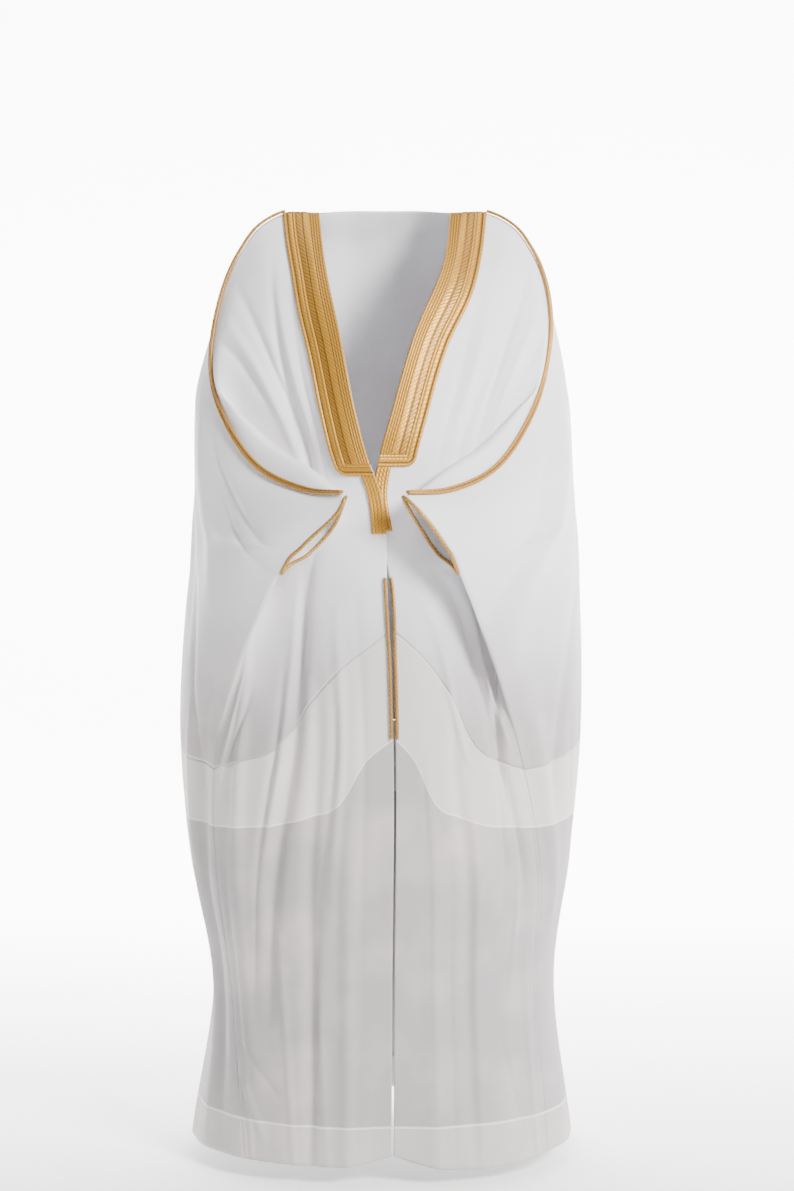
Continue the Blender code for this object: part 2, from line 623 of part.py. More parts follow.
def arm_cord(side, gold, collection):
    """The cord over the seam from the band at the shoulder to the cuff."""
    across = front_places(side)[0][BAND_LINES[1]:, 0].copy()
    across[0] += 0.008
    across[-1] -= 0.012
    none = np.zeros_like(across)
    away = outward(plain_front, side, across, none) + outward(plain_back, side, across, none)
    away /= np.linalg.norm(away, axis=-1, keepdims=True)
    points = seam_point(side, across) + away * (CLOTH / 2 + SEAM_CORD + 2 * CORD_CLEAR)
    tube("arm_cord_" + WEARER_SIDE[side], points, SEAM_CORD, gold, collection)


def cuff_cord(side, gold, collection):
    """The cord round the opening of a cuff, just beyond the edges of both panels."""
    lines = []
    for panel, places in ((back, back_places), (front, front_places)):
        across, down = places(side)
        edge_down = down[-1, :CUFF_ROW + 1].copy()
        edge_down[0] += 0.02
        edge_down[-1] -= 0.012
        one = np.ones_like(edge_down)
        edge, inner = panel(side, one, edge_down), panel(side, 0.985 * one, edge_down)
        away = edge - inner
        away /= np.linalg.norm(away, axis=-1, keepdims=True)
        lines.append(edge + away * (CUFF_CORD + 2 * CORD_CLEAR))
    points = np.concatenate([lines[0], lines[1][::-1]])
    tube("cuff_cord_" + WEARER_SIDE[side], points, CUFF_CORD, gold, collection, closed=True)


def edge_cord(side, gold, collection):
    """The thin cord that goes on down the front edge, on the face of the panel."""
    across, down = front_places(side)
    rows = slice(TAIL_ROW + 2, TUCK_ROW + 3)
    points = front(side, across[:2, rows], down[:2, rows], CLOTH / 2 + EDGE_CORD + CORD_CLEAR)
    way = points[1] - points[0]
    line = points[0] + way / np.linalg.norm(way, axis=-1, keepdims=True) * (EDGE_CORD + CORD_CLEAR)
    tube("edge_cord_" + WEARER_SIDE[side], line, EDGE_CORD, gold, collection)


def build():
    remove_everything()
    collection = bpy.data.collections.new("bisht")
    bpy.context.scene.collection.children.link(collection)
    cloth = material("white_cloth", (0.82, 0.82, 0.83), 0.75)
    gold = material("gold_thread", (0.62, 0.40, 0.13), 0.42, 0.55)
    back_cloth(cloth, collection)
    neck_band(gold, collection)
    for side in (LEFT, RIGHT):
        front_cloth(side, cloth, collection)
        front_bands(side, gold, collection)
        arm_cord(side, gold, collection)
        cuff_cord(side, gold, collection)
        edge_cord(side, gold, collection)


build()
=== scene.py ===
"""Looks of a bisht: a man's long open cloak of thin white wool with gold-thread bands, braids and cords.

Frame: metres, +Z up, origin midway between the shoulders, front to -Y, the wearer's left to +X. Heights in
the tables are measured up from the front hem. A place on a panel is given by `across`, 0 at the neck to 1 at
the cuff and the fold below it (-0.12 at the centre back), and by `down`, 0 at the seam over the arm to 1 at
the hem. The tables of the form repeat those of the CAD part.
"""

import logging
import math
from dataclasses import dataclass
from enum import Enum, IntEnum
from functools import lru_cache
from typing import Sequence

import bmesh
import bpy
import numpy as np
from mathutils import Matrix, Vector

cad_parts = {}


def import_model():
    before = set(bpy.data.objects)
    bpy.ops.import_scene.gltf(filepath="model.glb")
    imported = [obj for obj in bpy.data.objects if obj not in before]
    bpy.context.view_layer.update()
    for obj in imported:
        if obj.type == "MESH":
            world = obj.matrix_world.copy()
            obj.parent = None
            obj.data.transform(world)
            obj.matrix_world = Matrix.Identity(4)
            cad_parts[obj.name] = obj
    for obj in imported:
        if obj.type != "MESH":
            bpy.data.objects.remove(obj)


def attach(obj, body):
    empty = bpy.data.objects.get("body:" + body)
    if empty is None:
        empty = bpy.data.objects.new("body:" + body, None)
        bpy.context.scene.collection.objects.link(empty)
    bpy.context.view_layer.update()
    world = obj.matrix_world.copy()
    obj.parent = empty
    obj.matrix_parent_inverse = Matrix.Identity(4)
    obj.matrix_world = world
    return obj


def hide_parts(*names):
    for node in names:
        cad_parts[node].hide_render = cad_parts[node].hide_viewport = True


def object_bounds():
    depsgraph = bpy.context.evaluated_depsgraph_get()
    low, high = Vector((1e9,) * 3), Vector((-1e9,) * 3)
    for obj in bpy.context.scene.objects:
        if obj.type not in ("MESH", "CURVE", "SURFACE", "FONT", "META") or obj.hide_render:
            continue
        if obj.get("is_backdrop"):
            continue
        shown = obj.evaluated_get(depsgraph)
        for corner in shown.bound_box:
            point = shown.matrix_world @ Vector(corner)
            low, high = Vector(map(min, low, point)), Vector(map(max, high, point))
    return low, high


log = logging.getLogger("bisht")

# ---- driving sizes, in metres --------------------------------------------------------------------

SHOULDER_HEIGHT = 1.450     # shoulder line above the front hem
CLOTH = 0.0008              # thickness of the cloth
BAND_WIDTH = 0.057          # gold band along each front
BAND_LIFT = 0.0016          # from the cloth's middle to the band's lowest threads
BAND_CORNER = 0.014         # radius of the rounded corner at the band's foot
BAND_BORDER = 0.019         # width of the cords that turn the corner at the foot
TAIL_WIDTH = 0.021          # narrow braid below the band's foot
HEM_TURN = 0.058            # depth of the turned hem
CENTRE_BACK = -0.12         # `across` at the centre back
PANEL_CUT = 1.46            # length of a panel's cut from the seam to the hem
BAND_WALL = 0.0010          # how far the band's cloth goes in below its threads
TAIL_FOOT = 0.67            # share of the way from the band's foot to the cuff's bottom that the tail reaches
LOBE_DEPTH = 0.18           # depth of the grooves between a cord's yarns, as a share of its radius
UNDER_LAST = 0.985          # `across` where the layers beneath end, short of the side fold
CREASE_CALM = 0.5           # how much of the small creases is lost in the skirt
RIPPLE = 0.0004             # height of the slight waves of hanging cloth
NORMAL_STEP = 0.004         # between the places that a panel's normal is read from


class Side(IntEnum):
    """The wearer's two sides. The value is the sign of X."""

    RIGHT = -1
    LEFT = 1

    @property
    def word(self) -> str:
        """The side's name as the nodes spell it."""
        return self.name.lower()


class Panel(Enum):
    """The two kinds of cloth panel."""

    FRONT = "front"
    BACK = "back"


BAND_FOOT = {Side.RIGHT: 1.033, Side.LEFT: 1.047}     # heights of the ends of the trim at the front

@dataclass(frozen=True)
class Fold:
    """A soft trough (`out` less than 0) or ridge that runs down a panel, in places across and down.

    Attributes:
        top, foot: its place across at its top and at its foot.
        start, end: its place down at its top and at its foot.
        out: how far it stands out of the panel, in metres.
        width: its half width across.
        crisp: how narrow its bottom is; 2 is a round trough and 1 a sharp crease.
        early: where its deepest place comes; over 1 moves it towards the top.
    """

    top: float
    foot: float
    start: float
    end: float
    out: float
    width: float
    crisp: float = 2.0
    early: float = 1.0

    def height(self, across: np.ndarray, down: np.ndarray) -> np.ndarray:
        """How far this fold pushes the cloth out at each place.

        Args:
            across: places across the panel.
            down: places down the panel.

        Returns:
            Distances out of the panel, in metres.
        """
        share = np.clip((down - self.start) / (self.end - self.start), 0.0, 1.0)
        centre = self.top + (self.foot - self.top) * share
        fade = np.sin(np.pi * share ** (1 / self.early)) ** 0.7
        return self.out * fade * np.exp(-(np.abs(across - centre) / (0.6 * self.width)) ** self.crisp)



def folds_of(right: Sequence[Sequence[float]],
             left: Sequence[Sequence[float]]) -> dict[Side, tuple[Fold, ...]]:
    """The folds of each side, from rows whose columns are the attributes of Fold."""
    tables = {Side.RIGHT: right, Side.LEFT: left}
    return {side: tuple(Fold(*row) for row in rows) for side, rows in tables.items()}


# ---- tables --------------------------------------------------------------------------------------


# The seam over the shoulder and arm, and the back panel outside it. Each row is a line down the cloth: its
# place across, then x, y and height at the seam, over the arm, beside it and at the waist.
BACK_LINES = (
    # across  seam                    over                    beside                  waist
    (-0.12, (0.000, 0.085, 1.464), (0.000, 0.122, 1.400), (0.000, 0.150, 1.200), (0.000, 0.175, 0.90)),
    (-0.06, (0.060, 0.074, 1.462), (0.056, 0.117, 1.403), (0.052, 0.151, 1.200), (0.046, 0.175, 0.90)),
    (0.00, (0.105, 0.030, 1.452), (0.104, 0.090, 1.405), (0.098, 0.145, 1.200), (0.090, 0.175, 0.90)),
    (0.08, (0.165, 0.020, 1.450), (0.170, 0.072, 1.392), (0.155, 0.135, 1.190), (0.145, 0.166, 0.90)),
    (0.14, (0.205, 0.011, 1.426), (0.213, 0.060, 1.365), (0.188, 0.124, 1.178), (0.176, 0.155, 0.90)),
    (0.20, (0.231, 0.002, 1.388), (0.243, 0.045, 1.330), (0.218, 0.110, 1.160), (0.205, 0.140, 0.90)),
    (0.35, (0.257, -0.020, 1.288), (0.275, 0.014, 1.245), (0.266, 0.068, 1.090), (0.258, 0.100, 0.90)),
    (0.48, (0.247, -0.040, 1.196), (0.286, -0.010, 1.160), (0.295, 0.028, 1.040), (0.295, 0.050, 0.90)),
    (0.60, (0.221, -0.075, 1.122), (0.266, -0.058, 1.085), (0.296, -0.028, 1.000), (0.307, -0.006, 0.90)),
    (0.73, (0.173, -0.123, 1.050), (0.203, -0.125, 1.018), (0.250, -0.100, 0.960), (0.285, -0.077, 0.90)),
    (0.88, (0.098, -0.180, 1.010), (0.118, -0.196, 0.985), (0.162, -0.190, 0.940), (0.212, -0.155, 0.89)),
    (1.00, (0.030, -0.220, 1.003), (0.056, -0.226, 0.978), (0.092, -0.222, 0.930), (0.115, -0.205, 0.88)),
)

# The front panel inside the same seam, from over the arm to the waist.
UNDER_SEAM = (
    # across over                    inside                  under                   waist
    (0.00, (0.090, -0.050, 1.365), (0.055, -0.110, 1.244), (0.008, -0.148, 1.057), (0.002, -0.168, 0.90)),
    (0.08, (0.140, -0.052, 1.340), (0.112, -0.092, 1.235), (0.060, -0.135, 1.057), (0.045, -0.166, 0.90)),
    (0.14, (0.178, -0.045, 1.345), (0.145, -0.086, 1.230), (0.088, -0.126, 1.058), (0.074, -0.160, 0.90)),
    (0.20, (0.208, -0.042, 1.325), (0.172, -0.080, 1.225), (0.115, -0.115, 1.060), (0.100, -0.152, 0.90)),
    (0.35, (0.243, -0.047, 1.250), (0.205, -0.072, 1.180), (0.160, -0.090, 1.055), (0.140, -0.126, 0.90)),
    (0.48, (0.236, -0.064, 1.175), (0.205, -0.066, 1.120), (0.180, -0.075, 1.030), (0.158, -0.108, 0.90)),
    (0.60, (0.208, -0.085, 1.138), (0.178, -0.070, 1.100), (0.182, -0.078, 1.005), (0.168, -0.108, 0.90)),
    (0.73, (0.157, -0.118, 1.082), (0.128, -0.095, 1.060), (0.152, -0.095, 0.985), (0.163, -0.126, 0.90)),
    (0.88, (0.085, -0.168, 1.035), (0.062, -0.140, 1.012), (0.098, -0.135, 0.965), (0.142, -0.160, 0.89)),
    (1.00, (0.034, -0.195, 0.994), (0.050, -0.172, 0.965), (0.080, -0.172, 0.920), (0.115, -0.205, 0.88)),
)
SEAM = {across: seam for across, seam, *_ in BACK_LINES}
FRONT_LINES = tuple((across, SEAM[across], *points) for across, *points in UNDER_SEAM)

# How much farther out the wearer's right arm holds the cloth than the left, for each line from the neck out,
# and how much of that is left at each place down a line.
RIGHT_ARM_REACH = ((0.0, 0.0), (0.08, -0.004), (0.20, -0.006), (0.35, 0.003), (0.48, 0.020), (0.60, 0.023),
                   (0.73, 0.021), (0.88, 0.018), (1.0, 0.027))
REACH_LEFT_FRONT = (1.0, 1.0, 0.8, 0.6, 0.5)
REACH_LEFT_BACK = (1.0, 0.5, 0.1, 0.0)

# Rings below the arms: height, middle, half width, front depth, back depth.
RINGS = (
    (0.62, -0.008, 0.3125, 0.186, 0.200),
    (0.43, -0.007, 0.2990, 0.187, 0.200),
    (0.26, -0.002, 0.2712, 0.187, 0.192),
    (0.00, -0.004, 0.3010, 0.206, 0.215),
)
RING_SQUARENESS = 2.25
LINES_CROWD = 1.5           # how much the lines of a front panel close up towards the side fold

# The fold where front and back meet below each cuff: height, x on the wearer's right side, x on the left.
SIDE_FOLD = (
    (0.88, 0.157, 0.115),
    (0.75, 0.221, 0.155),
    (0.62, 0.254, 0.203),
    (0.43, 0.256, 0.238),
    (0.26, 0.236, 0.235),
    (0.00, 0.212, 0.250),
)

# The two front edges: height, x midway between them, half of the opening (less than 0 where they lap), y.
FRONT_EDGE = (
    (1.452, 0.000, 0.1050, 0.030),
    (1.365, 0.000, 0.0920, -0.050),
    (1.244, -0.011, 0.0550, -0.110),
    (1.120, -0.016, 0.0245, -0.139),
    (1.057, -0.016, 0.0075, -0.148),
    (1.010, -0.011, -0.0060, -0.153),
    (0.950, -0.003, -0.0060, -0.161),
    (0.880, 0.006, 0.0016, -0.170),
    (0.750, 0.013, 0.0016, -0.180),
    (0.620, 0.016, 0.0016, -0.184),
    (0.260, 0.014, 0.0016, -0.186),
    (0.000, 0.013, 0.0016, -0.196),
)
LAP_DEPTH = 0.004           # each front edge leaves the common face by this much where they lap
LAP_TOP, LAP_BOTTOM = 1.10, 0.82

DOWN_KEYS_FRONT = (0.0, 0.07, 0.14, 0.27, 0.40, 0.60, 0.73, 0.84, 1.0)
DOWN_KEYS_BACK = (0.0, 0.09, 0.23, 0.40, 0.60, 0.73, 0.84, 1.0)
CUFF_END = 0.40             # `down` at the bottom of the cuff
CUFF_BOTTOM_HEIGHT = 0.88

# The doubled band at the waist: across, height of its upper line, height of its lower line.
WAIST_TUCK_FRONT = ((0.0, 0.800, 0.640), (0.12, 0.762, 0.600), (0.20, 0.735, 0.548), (0.35, 0.685, 0.522),
                    (0.48, 0.632, 0.510), (0.72, 0.602, 0.503), (1.0, 0.588, 0.500))
WAIST_TUCK_BACK = ((-0.12, 0.630, 0.510), (0.60, 0.620, 0.510), (0.85, 0.600, 0.504), (1.0, 0.588, 0.500))

# The largest folds, which the CAD walls have too: top, foot, start, end, out, width.
FRONT_FOLDS = folds_of(
    right=(
        (0.27, 0.62, 0.38, 0.88, -0.012, 0.070),
        (0.28, 0.42, 0.50, 1.05, -0.009, 0.060),
        (0.15, 0.22, 0.55, 1.10, 0.005, 0.060),
        (0.72, 0.78, 0.46, 0.95, 0.006, 0.080),
        (0.17, 0.22, 0.10, 0.36, -0.006, 0.040),
    ),
    left=(
        (0.68, 0.76, 0.46, 0.78, -0.010, 0.080),
        (0.34, 0.40, 0.52, 1.05, -0.005, 0.070),
        (0.17, 0.20, 0.60, 1.10, 0.004, 0.060),
        (0.21, 0.18, 0.08, 0.34, -0.006, 0.040),
    ),
)
BACK_FOLDS = folds_of(
    right=(
        (-0.02, -0.05, 0.15, 1.10, -0.010, 0.055),
        (0.14, 0.10, 0.12, 1.10, 0.009, 0.060),
        (0.27, 0.24, 0.18, 1.10, -0.012, 0.055),
        (0.42, 0.40, 0.26, 1.05, 0.009, 0.060),
        (0.93, 0.90, 0.46, 1.05, -0.008, 0.060),
    ),
    left=(
        (-0.04, -0.02, 0.18, 1.10, -0.007, 0.050),
        (0.10, 0.12, 0.10, 1.10, 0.010, 0.065),
        (0.24, 0.27, 0.20, 1.10, -0.010, 0.050),
        (0.40, 0.37, 0.24, 1.05, 0.008, 0.060),
        (0.95, 0.92, 0.42, 0.80, 0.008, 0.060),
    ),
)

# The smaller creases, which only this surface has: top, foot, start, end, out, width, crisp.
FRONT_CREASES = folds_of(
    right=(
        (0.25, 0.20, 0.03, 0.34, -0.0060, 0.030, 1.5),
        (0.33, 0.24, 0.05, 0.30, 0.0045, 0.034),
        (0.12, 0.25, 0.03, 0.26, -0.0034, 0.022, 1.5),
        (0.10, 0.16, 0.08, 0.32, -0.0030, 0.018, 1.4),
        (0.135, 0.19, 0.07, 0.30, 0.0026, 0.020),
        (0.40, 0.30, 0.02, 0.20, -0.0040, 0.030, 1.5),
        (0.20, 0.50, 0.37, 0.62, -0.0085, 0.040, 1.3),
        (0.30, 0.58, 0.40, 0.72, 0.0060, 0.040),
        (0.44, 0.72, 0.50, 0.86, -0.0060, 0.034, 1.4),
        (0.16, 0.26, 0.44, 0.80, 0.0050, 0.034),
        (0.20, 0.40, 0.53, 0.98, -0.0052, 0.042, 1.6),
        (0.10, 0.13, 0.42, 0.88, -0.0026, 0.030, 1.5),
        (0.66, 0.84, 0.54, 0.62, -0.0050, 0.034, 1.4),
        (0.74, 0.92, 0.52, 0.64, 0.0045, 0.034),
        (0.90, 0.55, 0.895, 0.945, -0.0050, 0.060, 1.3),
        (0.93, 0.70, 0.915, 0.985, 0.0060, 0.070),
        (0.80, 0.86, 0.66, 1.05, 0.0040, 0.050),
        (0.53, 0.50, 0.72, 1.05, 0.0040, 0.040),
        (0.33, 0.31, 0.78, 1.06, 0.0030, 0.034),
    ),
    left=(
        (0.21, 0.27, 0.03, 0.30, -0.0058, 0.028, 1.4),
        (0.28, 0.33, 0.03, 0.30, 0.0040, 0.034),
        (0.10, 0.16, 0.07, 0.33, -0.0030, 0.020, 1.4),
        (0.14, 0.20, 0.09, 0.35, 0.0028, 0.022),
        (0.36, 0.36, 0.02, 0.20, -0.0034, 0.030, 1.5),
        (0.12, 0.74, 0.40, 0.605, -0.0060, 0.056, 1.3),
        (0.20, 0.84, 0.41, 0.600, 0.0060, 0.056),
        (0.10, 0.46, 0.44, 0.62, 0.0040, 0.040),
        (0.60, 0.74, 0.555, 0.640, -0.0040, 0.066, 1.4),
        (0.68, 0.56, 0.59, 0.80, -0.0040, 0.044, 1.3),
        (0.75, 0.66, 0.60, 0.86, 0.0050, 0.040),
        (0.93, 0.90, 0.64, 0.92, -0.0040, 0.034, 1.4),
        (0.15, 0.19, 0.60, 1.02, -0.0040, 0.040, 1.6),
        (0.42, 0.43, 0.66, 1.05, 0.0042, 0.044),
        (0.27, 0.29, 0.70, 1.06, -0.0032, 0.034, 1.6),
        (0.57, 0.74, 0.885, 0.985, -0.0055, 0.040, 1.3),
        (0.80, 0.84, 0.80, 1.06, 0.0050, 0.050),
    ),
)
BACK_CREASES = folds_of(
    right=(
        (0.58, 0.93, 0.04, 0.28, -0.0050, 0.040, 1.5),
        (0.55, 0.86, 0.06, 0.46, 0.0065, 0.052),
        (0.48, 0.74, 0.10, 0.52, -0.0060, 0.046, 1.6),
        (0.66, 0.98, 0.12, 0.40, -0.0044, 0.030, 1.5),
        (0.70, 0.95, 0.40, 0.66, -0.0060, 0.036, 1.4),
        (0.62, 0.66, 0.42, 1.05, 0.0060, 0.046),
        (0.84, 0.82, 0.50, 1.05, 0.0050, 0.044),
        (0.76, 0.72, 0.58, 1.05, -0.0050, 0.038, 1.5),
        (0.97, 0.93, 0.60, 0.74, -0.0055, 0.030, 1.3),
        (0.34, 0.33, 0.20, 1.06, 0.0060, 0.034),
        (0.20, 0.19, 0.30, 1.06, 0.0050, 0.030),
        (0.04, 0.03, 0.22, 1.06, 0.0055, 0.032),
        (0.52, 0.50, 0.50, 1.06, -0.0055, 0.034, 1.6),
    ),
    left=(
        (0.50, 0.86, 0.04, 0.42, 0.0065, 0.050),
        (0.60, 0.93, 0.05, 0.40, -0.0052, 0.040, 1.5),
        (0.42, 0.74, 0.08, 0.50, -0.0060, 0.044, 1.6),
        (0.84, 0.99, 0.36, 0.475, -0.0070, 0.040, 1.3),
        (0.80, 0.99, 0.34, 0.530, 0.0060, 0.050),
        (0.70, 0.94, 0.44, 0.70, -0.0055, 0.036, 1.4),
        (0.62, 0.64, 0.46, 1.05, 0.0060, 0.046),
        (0.76, 0.74, 0.56, 1.05, -0.0050, 0.036, 1.5),
        (0.34, 0.32, 0.22, 1.06, 0.0055, 0.034),
        (0.17, 0.19, 0.30, 1.06, -0.0050, 0.030, 1.6),
        (0.03, 0.05, 0.20, 1.06, 0.0055, 0.030),
        (0.52, 0.50, 0.50, 1.06, -0.0055, 0.034, 1.6),
    ),
)

# ---- curves --------------------------------------------------------------------------------------


def tangents_of(keys: np.ndarray, values: np.ndarray) -> np.ndarray:
    """Slopes of a smooth curve at its keys, from the parabola through each key and its neighbours.

    Args:
        keys: rising places.
        values: a number or a point for each key.

    Returns:
        The slope at each key.
    """
    step = np.diff(keys).reshape((-1,) + (1,) * (values.ndim - 1))
    slope = np.diff(values, axis=0) / step
    inner = (step[1:] * slope[:-1] + step[:-1] * slope[1:]) / (step[:-1] + step[1:])
    return np.concatenate([slope[:1], inner, slope[-1:]])


def blended(start: np.ndarray, end: np.ndarray, tangent_in: np.ndarray, tangent_out: np.ndarray,
            share: np.ndarray, width: np.ndarray) -> np.ndarray:
    """A cubic from start to end with the tangents given there.

    Args:
        start: values where each span begins.
        end: values where it ends.
        tangent_in: slopes where it begins.
        tangent_out: slopes where it ends.
        share: how far along the span, from 0 to 1.
        width: the span's length.

    Returns:
        The values there.
    """
    return (start * (1 + 2 * share) * (1 - share) ** 2
            + end * share ** 2 * (3 - 2 * share)
            + tangent_in * width * share * (1 - share) ** 2
            - tangent_out * width * share ** 2 * (1 - share))


def smooth_curve(keys: Sequence[float], values: Sequence, at: np.ndarray) -> np.ndarray:
    """A smooth curve through values at keys.

    Args:
        keys: rising places.
        values: a number or a point for each key.
        at: the places to read, of any shape.

    Returns:
        The values read, with the shape of `at` in front.
    """
    keys, values, at = np.asarray(keys, float), np.asarray(values, float), np.asarray(at, float)
    tangents = tangents_of(keys, values)
    span = np.clip(np.searchsorted(keys, at, side="right") - 1, 0, len(keys) - 2)
    shape = at.shape + (1,) * (values.ndim - 1)
    width = (keys[span + 1] - keys[span]).reshape(shape)
    share = (at - keys[span]).reshape(shape) / width
    return blended(values[span], values[span + 1], tangents[span], tangents[span + 1], share, width)


def smooth_curves(keys: Sequence[float], values: np.ndarray, at: np.ndarray) -> np.ndarray:
    """The same for many curves at once: values[:, i] is read at the place at[i].

    Args:
        keys: rising places.
        values: keys by curves by 3.
        at: one place for each curve.

    Returns:
        One point for each curve.
    """
    keys = np.asarray(keys, float)
    tangents = tangents_of(keys, values)
    span = np.clip(np.searchsorted(keys, at, side="right") - 1, 0, len(keys) - 2)
    each = np.arange(len(at))
    width = (keys[span + 1] - keys[span])[:, None]
    share = (at - keys[span])[:, None] / width
    return blended(values[span, each], values[span + 1, each], tangents[span, each],
                   tangents[span + 1, each], share, width)


def by_height(table: Sequence[Sequence[float]], column: int, height: np.ndarray) -> np.ndarray:
    """A column of a table whose first column is a falling height."""
    rows = np.array(table)[::-1]
    return smooth_curve(rows[:, 0], rows[:, column], np.clip(height, rows[0, 0], rows[-1, 0]))


def by_across(table: Sequence[Sequence[float]], column: int, across: np.ndarray) -> np.ndarray:
    """A column of a table whose first column is a place across."""
    rows = np.array(table)
    return smooth_curve(rows[:, 0], rows[:, column], across)


def eased(x: np.ndarray) -> np.ndarray:
    """0 below 0, 1 above 1, and a soft step between."""
    x = np.clip(x, 0.0, 1.0)
    return x * x * (3 - 2 * x)


def unit(vectors: np.ndarray) -> np.ndarray:
    """Vectors of length 1 along the last axis."""
    return vectors / np.maximum(np.linalg.norm(vectors, axis=-1, keepdims=True), 1e-12)


def first_place(panel: Panel) -> float:
    """The place across where a panel begins."""
    return 0.0 if panel is Panel.FRONT else CENTRE_BACK


def run_along(points: np.ndarray) -> np.ndarray:
    """The distance from the start of a line of points to each of them."""
    return np.concatenate([[0.0], np.cumsum(np.linalg.norm(np.diff(points, axis=0), axis=-1))])


# ---- the form of the cloth -----------------------------------------------------------------------


class CloakForm:
    """The cloak's hanging form: where each place of a panel lies in space.

    It is the form of the CAD walls, with the smaller creases added.
    """

    @staticmethod
    def side_fold_x(side: Side, height: np.ndarray) -> np.ndarray:
        """How far out the fold between front and back lies at a height."""
        return by_height(SIDE_FOLD, 1 if side is Side.RIGHT else 2, height)

    @staticmethod
    def ring_point(ring: Sequence[float], side: Side, angle: np.ndarray) -> np.ndarray:
        """A point of a ring round the legs: the angle is 0 at the front and pi at the back.

        Args:
            ring: a row of the table of rings.
            side: the wearer's side.
            angle: angles round the ring, in radians.

        Returns:
            The points.
        """
        height, middle, half_width, front, back = ring
        sine, cosine = np.abs(np.sin(angle)), np.cos(angle)
        x = side * half_width * sine ** (2 / RING_SQUARENESS)
        depth = np.where(cosine > 0, -front, back)
        y = depth * np.abs(cosine) ** (2 / RING_SQUARENESS)
        return np.stack([x + middle, y, np.full_like(x, height)], axis=-1)

    @staticmethod
    def angle_at_x(ring: Sequence[float], side: Side, x: np.ndarray) -> np.ndarray:
        """The angle at which a ring reaches x in front."""
        _, middle, half_width, _, _ = ring
        share = np.clip((side * (x - middle)) / half_width, 0.0, 1.0)
        return np.arcsin(share ** (RING_SQUARENESS / 2))

    @staticmethod
    def reach(side: Side, across: np.ndarray) -> np.ndarray:
        """How much farther out the wearer's right arm holds a line of the cloth."""
        extra = by_across(RIGHT_ARM_REACH, 1, np.maximum(across, 0.0))
        return extra if side is Side.RIGHT else np.zeros_like(extra)

    @staticmethod
    def front_edge(side: Side, height: np.ndarray) -> np.ndarray:
        """The free front edge of a panel.

        Args:
            side: the wearer's side.
            height: heights above the hem, in metres.

        Returns:
            The edge's points.
        """
        middle = by_height(FRONT_EDGE, 1, height)
        half = by_height(FRONT_EDGE, 2, height)
        y = by_height(FRONT_EDGE, 3, height)
        lapped = eased((LAP_TOP - height) / 0.06) * eased((height - LAP_BOTTOM) / 0.04)
        return np.stack([middle + side * half, y + side * LAP_DEPTH * lapped, height], axis=-1)

    def keyed_lines(self, lines: Sequence[tuple], reach_left: Sequence[float], side: Side,
                    across: np.ndarray) -> list[np.ndarray]:
        """The tabled points of each line down a panel, read between the lines: one array for each key.

        Args:
            lines: a table of lines down a panel.
            reach_left: how much of the right arm's reach each key keeps.
            side: the wearer's side.
            across: places across the panel.

        Returns:
            The points for each key, in turn.
        """
        places = [row[0] for row in lines]
        points = np.array([row[1:] for row in lines])
        read = np.moveaxis(smooth_curve(places, points, across), -2, 0)
        for key, share in zip(read, reach_left):
            key[..., 0] += share * self.reach(side, across)
            key[..., 0] *= side
        return list(read)

    def cuff_bottom_shift(self, side: Side) -> float:
        """How far the bottom of this side's cuff lies outside the tabled one."""
        return side * (self.side_fold_x(side, np.array(CUFF_BOTTOM_HEIGHT)) - FRONT_LINES[-1][-1][0])

    def seam_point(self, side: Side, across: np.ndarray) -> np.ndarray:
        """A point of the seam over the shoulder and arm."""
        return self.keyed_lines(BACK_LINES, REACH_LEFT_BACK, side, np.asarray(across, float))[0]

    def raw_front(self, side: Side, across: np.ndarray, down: np.ndarray) -> np.ndarray:
        """The front panel as the tables and rings give it.

        Args:
            side: the wearer's side.
            across: places across the panel.
            down: places down the panel.

        Returns:
            The points.
        """
        keyed = self.keyed_lines(FRONT_LINES, REACH_LEFT_FRONT, side, across)
        shift = self.cuff_bottom_shift(side) - side * REACH_LEFT_FRONT[-1] * self.reach(side, np.array(1.0))
        keyed[4][..., 0] += shift * eased((across - 0.3) / 0.7)
        keyed[3][..., 0] += 0.5 * shift * eased((across - 0.3) / 0.7)
        for ring in RINGS:
            edge_x = self.front_edge(side, np.array(ring[0]))[0]
            fold_x = side * self.side_fold_x(side, np.array(ring[0]))
            x = edge_x + (fold_x - edge_x) * (1 - (1 - across) ** LINES_CROWD)
            point = self.ring_point(ring, side, self.angle_at_x(ring, side, x))
            point[..., 0] = x
            keyed.append(point)
        return self.read_down(keyed, DOWN_KEYS_FRONT, down)

    def raw_back(self, side: Side, across: np.ndarray, down: np.ndarray) -> np.ndarray:
        """The back panel as the tables and rings give it.

        Args:
            side: the wearer's side.
            across: places across the panel.
            down: places down the panel.

        Returns:
            The points.
        """
        keyed = self.keyed_lines(BACK_LINES, REACH_LEFT_BACK, side, across)
        shift = self.cuff_bottom_shift(side)
        keyed[3][..., 0] += shift * eased((across - 0.7) / 0.3)
        keyed[2][..., 0] += 0.6 * shift * eased((across - 0.7) / 0.3)
        for ring in RINGS:
            fold_x = side * self.side_fold_x(side, np.array(ring[0]))
            start = self.angle_at_x(ring, side, fold_x)
            share = (1 - across) / (1 - CENTRE_BACK)
            keyed.append(self.ring_point(ring, side, start + (np.pi - start) * share))
        return self.read_down(keyed, DOWN_KEYS_BACK, down)

